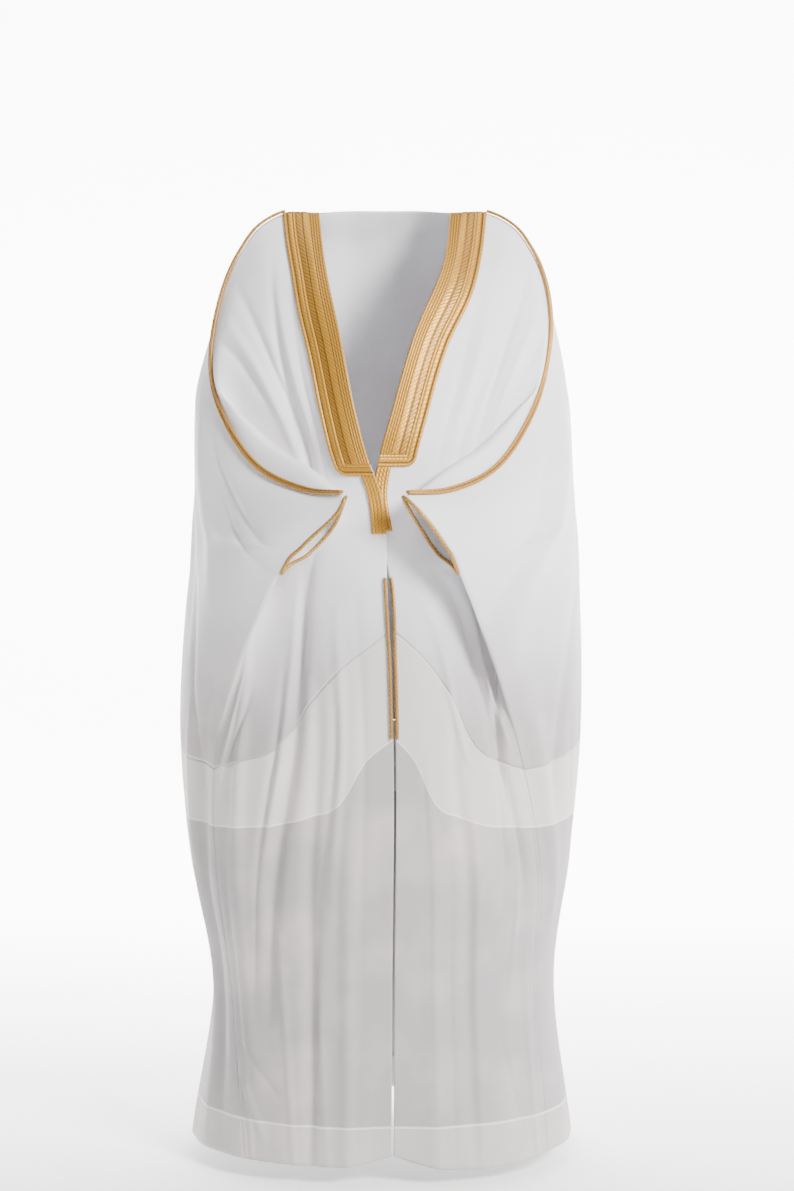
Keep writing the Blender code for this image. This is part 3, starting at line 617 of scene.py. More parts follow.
    @staticmethod
    def read_down(keyed: list[np.ndarray], down_keys: Sequence[float], down: np.ndarray) -> np.ndarray:
        """Reads each line down the cloth, given its point at each key, at the places `down`.

        Args:
            keyed: the points at each key.
            down_keys: the places of the keys.
            down: places down the panel.

        Returns:
            The points.
        """
        stack = np.stack(keyed)
        flat = stack.reshape(len(down_keys), -1, 3)
        at = np.broadcast_to(down, stack.shape[1:-1]).reshape(-1)
        return smooth_curves(down_keys, flat, at).reshape(stack.shape[1:])

    @staticmethod
    def hem_lift(side: Side, across: np.ndarray, down: np.ndarray) -> np.ndarray:
        """The hem rises a little beside the front opening, and hangs lowest under the wearer's left hand."""
        near_edge = 0.015 * np.clip(1 - across / 0.3, 0.0, 1.0) ** 2
        low = -0.008 * np.sin(np.pi * np.clip(across, 0.0, 1.0)) if side is Side.LEFT else 0.0
        return (near_edge + low) * np.clip((down - 0.84) / 0.16, 0.0, None) ** 2

    def plain(self, panel: Panel, side: Side, across: np.ndarray, down: np.ndarray) -> np.ndarray:
        """A point of a panel before its folds.

        Args:
            panel: front or back.
            side: the wearer's side.
            across: places across the panel.
            down: places down the panel.

        Returns:
            The points.
        """
        across, down = np.broadcast_arrays(np.asarray(across, float), np.asarray(down, float))
        zero, one = np.zeros_like(across), np.ones_like(across)
        below_cuff = (down >= CUFF_END)[..., None]
        apart = (self.raw_back(side, one, down) - self.raw_front(side, one, down)) * below_cuff
        if panel is Panel.BACK:
            return self.raw_back(side, across, down) - 0.5 * apart * eased((across - 0.8) / 0.2)[..., None]
        point = self.raw_front(side, across, down)
        at_edge = self.raw_front(side, zero, down)
        to_edge = self.front_edge(side, at_edge[..., 2]) - at_edge
        point = point + to_edge * (1 - eased(across / 0.25))[..., None]
        to_seam = self.seam_point(side, across) - self.raw_front(side, across, zero)
        point = point + to_seam * (1 - eased(down / 0.10))[..., None]
        point = point + 0.5 * apart * eased((across - 0.7) / 0.3)[..., None]
        point[..., 2] += self.hem_lift(side, across, down)
        return point

    def outward(self, panel: Panel, side: Side, across: np.ndarray, down: np.ndarray) -> np.ndarray:
        """The unit normal of a panel, pointing out of the garment.

        Args:
            panel: front or back.
            side: the wearer's side.
            across: places across the panel.
            down: places down the panel.

        Returns:
            The unit normals.
        """
        step = NORMAL_STEP
        first = first_place(panel)
        further, nearer = np.minimum(across + step, 1.0), np.maximum(across - step, first)
        lower, higher = np.minimum(down + step, 1.0), np.maximum(down - step, 0.0)
        along = self.plain(panel, side, further, down) - self.plain(panel, side, nearer, down)
        falling = self.plain(panel, side, across, lower) - self.plain(panel, side, across, higher)
        turn = -side if panel is Panel.FRONT else side
        return unit(np.cross(along, falling) * turn)

    @staticmethod
    def ripple(panel: Panel, side: Side, across: np.ndarray, down: np.ndarray) -> np.ndarray:
        """Slight waves that no two stretches of hanging cloth share, under 1 mm high.

        Args:
            panel: front or back.
            side: the wearer's side.
            across: places across the panel.
            down: places down the panel.

        Returns:
            Distances out of the panel, in metres.
        """
        phase = 1.7 * side + (0.0 if panel is Panel.FRONT else 2.9)
        drift = 0.05 * np.sin(5.1 * down + phase) + 0.02 * np.sin(13.0 * down + 2.0 * phase)
        place = across + drift
        waves = (np.sin(17.0 * place + phase) * np.sin(2.6 * down + phase)
                 + 0.6 * np.sin(31.0 * place - 2.0 * phase) * np.sin(4.3 * down + 1.3 * phase)
                 + 0.2 * np.sin(53.0 * place + 5.0 * phase + 3.0 * down))
        hem = 1.0 + 0.5 * eased((down - 0.8) / 0.2)
        return RIPPLE * waves * eased((down - 0.02) / 0.12) * hem

    def folds(self, panel: Panel, side: Side, across: np.ndarray, down: np.ndarray) -> np.ndarray:
        """How far all folds push the cloth out at a place.

        Args:
            panel: front or back.
            side: the wearer's side.
            across: places across the panel.
            down: places down the panel.

        Returns:
            Distances out of the panel, in metres.
        """
        large, small = (FRONT_FOLDS, FRONT_CREASES) if panel is Panel.FRONT else (BACK_FOLDS, BACK_CREASES)
        total = sum(fold.height(across, down) for fold in large[side])
        calmer = 1.0 - CREASE_CALM * eased((down - 0.58) / 0.16)
        total = total + calmer * sum(fold.height(across, down) for fold in small[side])
        free_edge = eased(across / 0.10) if panel is Panel.FRONT else 1.0
        return total + self.ripple(panel, side, across, down) * free_edge

    def point(self, panel: Panel, side: Side, across: np.ndarray, down: np.ndarray,
              out: float = 0.0) -> np.ndarray:
        """A point of a panel's middle surface, in heights above the hem.

        Args:
            panel: front or back.
            side: the wearer's side.
            across, down: the places.
            out: how far out of the panel the point lies, in metres.

        Returns:
            Points, with the shape of the places in front.
        """
        across, down = np.broadcast_arrays(np.asarray(across, float), np.asarray(down, float))
        near_fold = eased((1.0 - across) / 0.06) if panel is Panel.FRONT else 1.0
        seam = eased(down / 0.03)
        away = out + self.folds(panel, side, across, down) * near_fold * seam
        normal = self.outward(panel, side, across, down)
        return self.plain(panel, side, across, down) + away[..., None] * normal

    def down_at_height(self, panel: Panel, side: Side, across: float, height: float) -> float:
        """How far down a line of a panel lies at a height, below the arm."""
        tries = np.linspace(0.2, 1.0, 161)
        heights = self.plain(panel, side, np.full_like(tries, across), tries)[:, 2]
        return float(np.interp(-height, -heights, tries))

    @lru_cache
    def borders(self, panel: Panel, side: Side) -> dict[str, tuple[np.ndarray, np.ndarray]]:
        """Where the waist tuck and the hem's turn begin and end: places across and down for each border.

        Args:
            panel: front or back.
            side: the wearer's side.

        Returns:
            For each border's name, places across and the places down there.
        """
        table = WAIST_TUCK_FRONT if panel is Panel.FRONT else WAIST_TUCK_BACK
        places = np.linspace(first_place(panel), 1.0, 29)
        heights = {
            "tuck_top": by_across(table, 1, places),
            "tuck_foot": by_across(table, 2, places),
            "turn_top": np.full_like(places, HEM_TURN),
        }
        return {
            name: (places, np.array([self.down_at_height(panel, side, a, h) for a, h in zip(places, row)]))
            for name, row in heights.items()
        }

    def border(self, name: str, panel: Panel, side: Side, across: np.ndarray) -> np.ndarray:
        """The place down of a border, on each line across."""
        places, downs = self.borders(panel, side)[name]
        return np.interp(across, places, downs)


FORM = CloakForm()

# ---- meshes --------------------------------------------------------------------------------------


def to_frame(points: np.ndarray) -> np.ndarray:
    """Points in heights above the hem, moved into the part's frame."""
    return points - np.array([0.0, 0.0, SHOULDER_HEIGHT])


def grid_object(name: str, points: np.ndarray, uv: np.ndarray, marks: dict[str, np.ndarray],
                closed_across: bool = False) -> bpy.types.Object:
    """A surface through a grid of points.

    Args:
        name: the piece's name.
        points: columns by rows by 3, in heights above the hem, ordered so that faces look outwards.
        uv: columns by rows by 2: the place on the cloth, in metres.
        marks: named numbers for the material, one for each point.
        closed_across: joins the last column to the first.

    Returns:
        The new object, at the origin.
    """
    columns, rows = points.shape[:2]
    index = np.arange(columns * rows).reshape(columns, rows)
    if closed_across:
        index = np.concatenate([index, index[:1]])
    faces = np.stack([index[:-1, :-1], index[1:, :-1], index[1:, 1:], index[:-1, 1:]], axis=-1).reshape(-1, 4)
    mesh = bpy.data.meshes.new(name)
    mesh.from_pydata(to_frame(points).reshape(-1, 3).tolist(), [], faces.tolist())
    layer = mesh.uv_layers.new(name="UVMap")
    layer.data.foreach_set("uv", uv.reshape(-1, 2)[faces.reshape(-1)].astype(np.float32).reshape(-1))
    for mark, values in marks.items():
        attribute = mesh.attributes.new(mark, "FLOAT", "POINT")
        attribute.data.foreach_set("value", np.ascontiguousarray(values, dtype=np.float32).reshape(-1))
    mesh.shade_smooth()
    mesh.update()
    made = bpy.data.objects.new(name, mesh)
    bpy.context.scene.collection.objects.link(made)
    return made


def apply_modifiers(piece: bpy.types.Object) -> None:
    """Applies every modifier of one piece.

    Args:
        piece: the object.
    """
    bpy.ops.object.select_all(action="DESELECT")
    bpy.context.view_layer.objects.active = piece
    piece.select_set(True)
    for modifier in list(piece.modifiers):
        bpy.ops.object.modifier_apply(modifier=modifier.name)
    piece.select_set(False)


def give_wall(piece: bpy.types.Object, thick: float, offset: float = 0.0) -> None:
    """Turns a surface into a wall of one thickness.

    Args:
        piece: the object.
        thick: the wall's thickness, in metres.
        offset: 0 for both ways, -1 for inwards only.
    """
    wall = piece.modifiers.new("Wall", "SOLIDIFY")
    wall.thickness = thick
    wall.offset = offset
    wall.use_even_offset = True
    apply_modifiers(piece)


def facing_out(points: np.ndarray, panel: Panel, side: Side, *others: np.ndarray) -> tuple[np.ndarray, ...]:
    """Turns grids round where their faces would look into the garment."""
    backward = (side is Side.RIGHT) == (panel is Panel.FRONT)
    return tuple(grid[::-1] if backward else grid for grid in (points, *others))


def line_length(points: np.ndarray) -> float:
    """The length of a line of points."""
    return float(np.linalg.norm(np.diff(points, axis=0), axis=-1).sum())


def evenly_along(points: np.ndarray, spacing: float, closed: bool = False) -> np.ndarray:
    """The same line with points an even distance apart.

    Args:
        points: the line's points.
        spacing: the distance between the new points, in metres.
        closed: joins its two ends.

    Returns:
        The new points.
    """
    if closed:
        points = np.concatenate([points, points[:1]])
    run = run_along(points)
    count = max(8, round(run[-1] / spacing))
    places = np.linspace(0.0, run[-1], count, endpoint=not closed)
    return np.stack([np.interp(places, run, points[:, axis]) for axis in range(3)], axis=-1)


def strand(name: str, line: np.ndarray, across: np.ndarray, radius: float, lay: float, lobes: int,
           offset: float = 0.0, hand: int = 1, closed: bool = False) -> bpy.types.Object:
    """A twisted cord along a line.

    Args:
        name: the piece's name.
        line: evenly spaced points of its middle, in heights above the hem.
        across: a unit vector beside the line at each point.
        radius: to the outside of its yarns.
        lay: the length of one full turn of the twist.
        lobes: how many yarns are twisted together.
        offset: moves the cord sideways, along `across`.
        hand: 1 or -1, the way of the twist.
        closed: joins its two ends.

    Returns:
        The new object.
    """
    sides = 5 * lobes
    ahead = np.roll(line, -1, axis=0) - np.roll(line, 1, axis=0)
    if not closed:
        ahead[0], ahead[-1] = line[1] - line[0], line[-1] - line[-2]
    ahead = unit(ahead)
    across = unit(across - ahead * np.sum(across * ahead, axis=-1, keepdims=True))
    up = np.cross(ahead, across)
    run = run_along(line)
    if closed:
        whole = run[-1] + np.linalg.norm(line[0] - line[-1])
        lay = whole / max(1, round(whole / lay))
    angle = np.linspace(0.0, 2 * np.pi, sides, endpoint=False)[:, None]
    turn = hand * 2 * np.pi * run[None, :] / lay
    swell = 1 - LOBE_DEPTH + LOBE_DEPTH * np.abs(np.cos(0.5 * lobes * (angle - turn)))
    ring = (np.cos(angle) * swell)[..., None] * across + (np.sin(angle) * swell)[..., None] * up
    points = (line + offset * across)[None] + radius * ring
    uv = np.stack(np.broadcast_arrays(angle * radius, run[None, :]), axis=-1)
    # Painted shade: how much the cord is darkened, most deep between its yarns.
    groove_shade = (1.0 - swell) / LOBE_DEPTH
    if closed:
        points, uv = (np.concatenate([grid, grid[:, :1]], axis=1) for grid in (points, uv))
        groove_shade = np.concatenate([groove_shade, groove_shade[:, :1]], axis=1)
    made = grid_object(name, points, uv, {"groove_shade": groove_shade}, closed_across=True)
    close_ends(made, closed)
    return made


def close_ends(piece: bpy.types.Object, closed: bool) -> None:
    """Caps the open ends of a tube, or merges its ends where they meet, and turns its faces out.

    Args:
        piece: the object.
        closed: whether its two ends meet.
    """
    shaped = bmesh.new()
    shaped.from_mesh(piece.data)
    if closed:
        bmesh.ops.remove_doubles(shaped, verts=shaped.verts, dist=1e-6)
    else:
        rims = [edge for edge in shaped.edges if edge.is_boundary]
        bmesh.ops.holes_fill(shaped, edges=rims, sides=0)
    bmesh.ops.recalc_face_normals(shaped, faces=shaped.faces)
    shaped.to_mesh(piece.data)
    shaped.free()
    piece.data.shade_smooth()


def joined(pieces: Sequence[bpy.types.Object], name: str) -> bpy.types.Object:
    """One object from several.

    Args:
        pieces: the objects.
        name: the name of the whole.

    Returns:
        The first object, which now holds all.
    """
    bpy.ops.object.select_all(action="DESELECT")
    for piece in pieces:
        piece.select_set(True)
    bpy.context.view_layer.objects.active = pieces[0]
    bpy.ops.object.join()
    pieces[0].name = name
    pieces[0].data.name = name
    pieces[0].select_set(False)
    return pieces[0]

# ---- finishes ------------------------------------------------------------------------------------


def from_hex(code: str) -> tuple[float, float, float, float]:
    """An sRGB colour such as "e8e6ea" as the linear colour that shaders take."""
    shares = [int(code[i:i + 2], 16) / 255 for i in (0, 2, 4)]
    linear = [share / 12.92 if share <= 0.04045 else ((share + 0.055) / 1.055) ** 2.4 for share in shares]
    return (*linear, 1.0)


def add_node(tree: bpy.types.NodeTree, kind: str, settings: dict | None = None,
             inputs: dict | None = None) -> bpy.types.Node:
    """Adds a shader node.

    Args:
        tree: the material's node tree.
        kind: the node's type, without its "ShaderNode" prefix.
        settings: properties of the node.
        inputs: for each input, by name or number, either a value or the output that feeds it.

    Returns:
        The node.
    """
    node = tree.nodes.new("ShaderNode" + kind)
    for name, value in (settings or {}).items():
        setattr(node, name, value)
    for name, value in (inputs or {}).items():
        if isinstance(value, bpy.types.NodeSocket):
            tree.links.new(value, node.inputs[name])
        else:
            node.inputs[name].default_value = value
    return node


def new_tree(name: str) -> tuple[bpy.types.Material, bpy.types.NodeTree, bpy.types.Node]:
    """A new material with its tree cleared down to its output node.

    Args:
        name: the material's name.

    Returns:
        The material, its tree and its output node.
    """
    made = bpy.data.materials.new(name)
    made.use_nodes = True
    tree = made.node_tree
    tree.nodes.clear()
    return made, tree, tree.nodes.new("ShaderNodeOutputMaterial")


def math_of(tree: bpy.types.NodeTree, operation: str,
            *values: float | bpy.types.NodeSocket) -> bpy.types.NodeSocket:
    """The output of a Math node on values or outputs."""
    node = add_node(tree, "Math", {"operation": operation}, dict(enumerate(values)))
    return node.outputs[0]


def mix_of(tree: bpy.types.NodeTree, factor: bpy.types.NodeSocket,
           first: Sequence[float] | bpy.types.NodeSocket,
           second: Sequence[float] | bpy.types.NodeSocket) -> bpy.types.NodeSocket:
    """The output of a colour mix."""
    node = add_node(tree, "Mix", {"data_type": "RGBA"}, {"Factor": factor, 6: first, 7: second})
    return node.outputs[2]


def attribute_of(tree: bpy.types.NodeTree, name: str) -> bpy.types.NodeSocket:
    """A named number stored on the piece's points."""
    return add_node(tree, "Attribute", {"attribute_name": name}).outputs["Fac"]


@dataclass(frozen=True)
class SummerWool:
    """Thin white wool-blend voile in plain weave: matt with a faint nap, and a little light comes through it.

    The grey of one layer is painted shade for the shadowed hollow seen through the thin cloth; two layers
    show less of it and look cream-white.
    """

    name: str = "white wool voile"
    on_body: str = "f4f3f7"         # where the clothes beneath back it
    single: str = "a59e9f"          # one layer with nothing behind: painted shade, a grey that stands for the shadowed hollow seen through it
    doubled: str = "d6d1ce"         # two layers: lighter than one, as less of the painted hollow shade shows, yet greyer than the white cloth
    aged: str = "efe6df"            # faint warm unevenness of the dye
    stitched: str = "fbf8f4"        # the stitched line at a tuck
    roughness: float = 0.86
    sheen: float = 0.22
    through: float = 0.06           # share of light that passes through
    thread_mm: float = 1.9          # drawn coarser than the real 0.4 mm so that it shows

    def material(self) -> bpy.types.Material:
        """Builds the material.

        Returns:
            The material.
        """
        made, tree, output = new_tree(self.name)
        doubled, free_of_painted_shade = attribute_of(tree, "doubled"), attribute_of(tree, "free_of_painted_shade")
        # Painted shade: the white cloth turns to the grey of the hollow seen through it where its backing is
        # low, and less so where it is doubled.
        base = mix_of(tree, free_of_painted_shade, from_hex(self.single), from_hex(self.on_body))
        base = mix_of(tree, doubled, base, from_hex(self.doubled))
        place = add_node(tree, "TexCoord").outputs["Object"]
        cloudy = add_node(tree, "TexNoise", None, {"Vector": place, "Scale": 9.0, "Detail": 3.0})
        patch = add_node(tree, "MapRange", None, {
            "Value": cloudy.outputs["Fac"], "From Min": 0.45, "From Max": 0.75,
            "To Min": 0.0, "To Max": 0.35})
        base = mix_of(tree, patch.outputs["Result"], base, from_hex(self.aged))
        from_line = math_of(tree, "ABSOLUTE", attribute_of(tree, "line_mm"))
        on_line = add_node(tree, "MapRange", {"interpolation_type": "SMOOTHSTEP"}, {
            "Value": from_line, "From Min": 0.6, "From Max": 2.4, "To Min": 0.6, "To Max": 0.0})
        base = mix_of(tree, on_line.outputs["Result"], base, from_hex(self.stitched))
        bump = self.weave(tree)
        cloth = add_node(tree, "BsdfPrincipled", None, {
            "Base Color": base, "Roughness": self.roughness, "Sheen Weight": self.sheen,
            "Sheen Roughness": 0.5, "Specular IOR Level": 0.25, "Normal": bump})
        light_through = add_node(tree, "BsdfTranslucent", None, {"Color": base, "Normal": bump})
        both = add_node(tree, "MixShader", None, {
            0: self.through, 1: cloth.outputs[0], 2: light_through.outputs[0]})
        tree.links.new(both.outputs[0], output.inputs["Surface"])
        return made

    def weave(self, tree: bpy.types.NodeTree) -> bpy.types.NodeSocket:
        """The bump of warp, weft and slightly uneven yarns.

        Args:
            tree: the material's node tree.

        Returns:
            The normal to shade with.
        """
        place = add_node(tree, "UVMap").outputs["UV"]
        apart = add_node(tree, "SeparateXYZ", None, {0: place})
        waves = 2 * math.pi * 1000.0 / self.thread_mm
        warp = math_of(tree, "SINE", math_of(tree, "MULTIPLY", apart.outputs[0], waves))
        weft = math_of(tree, "SINE", math_of(tree, "MULTIPLY", apart.outputs[1], waves))
        crossed = math_of(tree, "MULTIPLY", warp, weft)
        stretched = add_node(tree, "Mapping", None, {"Vector": place, "Scale": (260.0, 60.0, 1.0)})
        slub = add_node(tree, "TexNoise", None, {"Vector": stretched.outputs[0], "Scale": 1.0, "Detail": 2.0})
        height = math_of(tree, "ADD", math_of(tree, "MULTIPLY", crossed, 0.35), slub.outputs["Fac"])
        bump = add_node(tree, "Bump", None, {"Height": height, "Strength": 0.10, "Distance": 0.0006})
        return bump.outputs["Normal"]


class Thread(Enum):
    """The three tones of gold thread on the cloak."""

    BAND = "band"
    BRAID = "braid"
    CORD = "cord"


@dataclass(frozen=True)
class GoldThread:
    """Metal-wrapped silk thread, couched or braided: a soft metallic gloss, broken up by each turn."""

    thread: Thread
    # light and dark: the two ends of the thread's tone; the turns and random unevenness move between them,
    # and painted shade in the low places pulls to the dark one.
    light: str
    dark: str
    metallic: float = 0.35
    roughness: float = 0.38
    twist_mm: float = 2.4           # drawn coarser than the real 0.8 mm so that it shows

    def material(self) -> bpy.types.Material:
        """Builds the material; a number stored on the points paints shade on what lies low between threads
        and yarns.

        Returns:
            The material.
        """
        made, tree, output = new_tree(f"gold {self.thread.value} thread")
        place = add_node(tree, "UVMap").outputs["UV"]
        slant = (0.0, 0.0, math.radians(38.0))
        slanted = add_node(tree, "Mapping", None, {"Vector": place, "Rotation": slant})
        turns = add_node(tree, "TexWave", {"wave_type": "BANDS"}, {
            "Vector": slanted.outputs[0], "Scale": 1000.0 / self.twist_mm / (2 * math.pi), "Distortion": 1.2,
            "Detail": 1.0, "Detail Scale": 2.0})
        uneven = add_node(tree, "TexNoise", None, {"Vector": place, "Scale": 420.0, "Detail": 2.0})
        groove_shade = attribute_of(tree, "groove_shade")
        shade = math_of(tree, "MULTIPLY", turns.outputs["Fac"], 0.30)
        shade = math_of(tree, "ADD", shade, math_of(tree, "MULTIPLY", uneven.outputs["Fac"], 0.35))
        # Painted shade in the grooves between yarns and the beds between cords.
        shade = math_of(tree, "ADD", shade, math_of(tree, "MULTIPLY", groove_shade, 0.75))
        tone = add_node(tree, "MapRange", None, {"Value": shade, "From Min": 0.22, "From Max": 1.15})
        base = mix_of(tree, tone.outputs["Result"], from_hex(self.light), from_hex(self.dark))
        height = math_of(tree, "ADD", turns.outputs["Fac"], uneven.outputs["Fac"])
        bump = add_node(tree, "Bump", None, {"Height": height, "Strength": 0.45, "Distance": 0.0005})
        thread = add_node(tree, "BsdfPrincipled", None, {
            "Base Color": base, "Metallic": self.metallic, "Roughness": self.roughness,
            "Sheen Weight": 0.1, "Normal": bump.outputs["Normal"]})
        tree.links.new(thread.outputs[0], output.inputs["Surface"])
        return made


WOOL = SummerWool()
BAND_GOLD = GoldThread(Thread.BAND, light="cf972f", dark="573508")
BRAID_GOLD = GoldThread(Thread.BRAID, light="c9943a", dark="5f3c10")
CORD_GOLD = GoldThread(Thread.CORD, light="c59542", dark="5f3d13")

# ---- sub-assemblies ------------------------------------------------------------------------------


class Layer(Enum):
    """The cloth pieces of a panel, from the top down. The values are their nodes' first words."""

    UPPER = "upper"
    LOWER = "lower"
    TUCK = "waist_tuck"
    TURN = "hem_turn"


@dataclass
class ClothPanel:
    """One panel of the cloak, front right, front left or the whole back, cut in an upper and a lower piece.

    Attributes:
        panel: front or back.
        sides: the wearer's sides that it covers.
        columns: lines down the cloth on one side.
        pitch: the distance between its rows, in metres.
        length: of the panel's cut from the seam to the hem.
        width: of the cut of one side, from the free edge or the centre back to the cuff.
    """

    panel: Panel
    sides: tuple[Side, ...]
    columns: int
    pitch: float = 0.0055
    length: float = PANEL_CUT
    width: float = 0.86
    under: float = -0.0022          # from the middle of the outer cloth to the middle of a layer beneath it
    border_step: float = 0.0007     # rows this far before and after a border keep its edge crisp

    @property
    def word(self) -> str:
        """The last words of this panel's node names."""
        return "back" if self.panel is Panel.BACK else f"front_{self.sides[0].word}"

    def rows_between(self, start: np.ndarray, end: np.ndarray) -> np.ndarray:
        """Places down from one border to the next on every line, without the last."""
        count = max(2, round(float(np.max(end - start)) * self.length / self.pitch))
        shares = np.linspace(0.0, 1.0, count, endpoint=False)
        return start[:, None] + (end - start)[:, None] * shares

    def places(self, layer: Layer, side: Side) -> tuple[np.ndarray, np.ndarray]:
        """Places across and down of one piece on one side.

        Args:
            layer: which piece of the panel.
            side: the wearer's side.

        Returns:
            Places across and down, as two grids.
        """
        first = first_place(self.panel)
        last = 1.0 if layer in (Layer.UPPER, Layer.LOWER) else UNDER_LAST
        across = np.linspace(first, last, self.columns)
        top, foot, turn = (FORM.border(name, self.panel, side, across)
                           for name in ("tuck_top", "tuck_foot", "turn_top"))
        step = self.border_step / self.length
        zero, one = np.zeros_like(across), np.ones_like(across)
        stretches = {
            Layer.UPPER: ((zero, top - step),),
            Layer.LOWER: ((top, foot - step), (foot - step, foot + step), (foot + step, turn - step),
                          (turn - step, turn + step), (turn + step, one)),
            Layer.TUCK: ((top + 0.002, foot),),
            Layer.TURN: ((turn, one - 0.0012),),
        }[layer]
        rows = []
        for start, end in stretches:
            narrow = float(np.max(end - start)) <= 2.5 * step
            rows.append(start[:, None] if narrow else self.rows_between(start, end))
        rows.append(stretches[-1][1][:, None])
        down = np.concatenate(rows, axis=1)
        return np.repeat(across[:, None], down.shape[1], axis=1), down

    def marks(self, side: Side, across: np.ndarray, down: np.ndarray,
              height: np.ndarray) -> dict[str, np.ndarray]:
        """The numbers that the material reads: how far each point keeps its white rather than the painted
        shade of the hollow, how doubled it is and how near a stitched line.

        Args:
            side: the wearer's side.
            across: places across the panel.
            down: places down the panel.
            height: heights above the hem, in metres.

        Returns:
            The numbers for each mark's name.
        """
        top, foot, turn = (FORM.border(name, self.panel, side, across[:, 0])[:, None]
                           for name in ("tuck_top", "tuck_foot", "turn_top"))
        doubled = ((down >= top) & (down <= foot)) * 1.0 + (down >= turn) * 0.55
        lines = np.minimum(np.minimum(np.abs(down - top), np.abs(down - foot)), np.abs(down - turn))
        # Painted shade: the cloth keeps its white high on the body, and takes the grey of the hollow seen
        # through it below the waist and from the tuck's foot down.
        free_of_painted_shade = 0.9 * eased((height - 0.60) / 0.36) * (down < foot) + 0.1
        return {"doubled": doubled, "line_mm": lines * self.length * 1000.0, "free_of_painted_shade": free_of_painted_shade}

    def build(self, layer: Layer) -> bpy.types.Object:
        """Args:
            layer: which piece of the panel.

        Returns:
            The new object.
        """
        halves = []
        out = self.under if layer in (Layer.TUCK, Layer.TURN) else 0.0
        for side in self.sides:
            across, down = self.places(layer, side)
            points = FORM.point(self.panel, side, across, down, out)
            uv = np.stack([side * across * self.width, down * self.length], axis=-1)
            marks = self.marks(side, across, down, points[..., 2])
            halves.append((points, uv, marks))
        points, uv, marks = halves[0]
        if len(halves) == 2:
            other_points, other_uv, other_marks = halves[1]
            points = np.concatenate([points[:0:-1], other_points])
            uv = np.concatenate([uv[:0:-1], other_uv])
            marks = {name: np.concatenate([values[:0:-1], other_marks[name]])
                     for name, values in marks.items()}
        last_side = self.sides[-1]
        points, uv, *values = facing_out(points, self.panel, last_side, uv, *marks.values())
        piece = grid_object(f"{layer.value}_{self.word}_cloth", points, uv, dict(zip(marks, values)))
        give_wall(piece, CLOTH)
        self.dress(piece, layer)
        return piece

    def dress(self, piece: bpy.types.Object, layer: Layer) -> None:
        """Gives a piece its wool, hangs it on the root and hides the CAD node that it stands for.

        Args:
            piece: the object.
            layer: which piece of the panel.
        """
        piece.data.materials.append(bpy.data.materials[WOOL.name])
        node = f"{layer.value}_{self.word}"
        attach(piece, "root")
        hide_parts(node)
        log.info("%s: %d faces", piece.name, len(piece.data.polygons))


def band_piece(name: str, node: str, panel: Panel, side: Side, points: np.ndarray, uv: np.ndarray,
               dark: np.ndarray) -> bpy.types.Object:
    """Makes a wall of gold thread from a grid and dresses it.

    Args:
        name: the piece's name.
        node: the CAD node that it stands for.
        panel, side: the panel that the grid lies on.
        points, uv, dark: the grid's points, their places on the band and how much painted shade darkens each.

    Returns:
        The new object.
    """
    points, uv, dark = facing_out(points, panel, side, uv, dark)
    piece = grid_object(name, points, uv, {"groove_shade": dark})
    give_wall(piece, BAND_WALL, -1.0)
    dress_gold(piece, BAND_GOLD, node)
    return piece


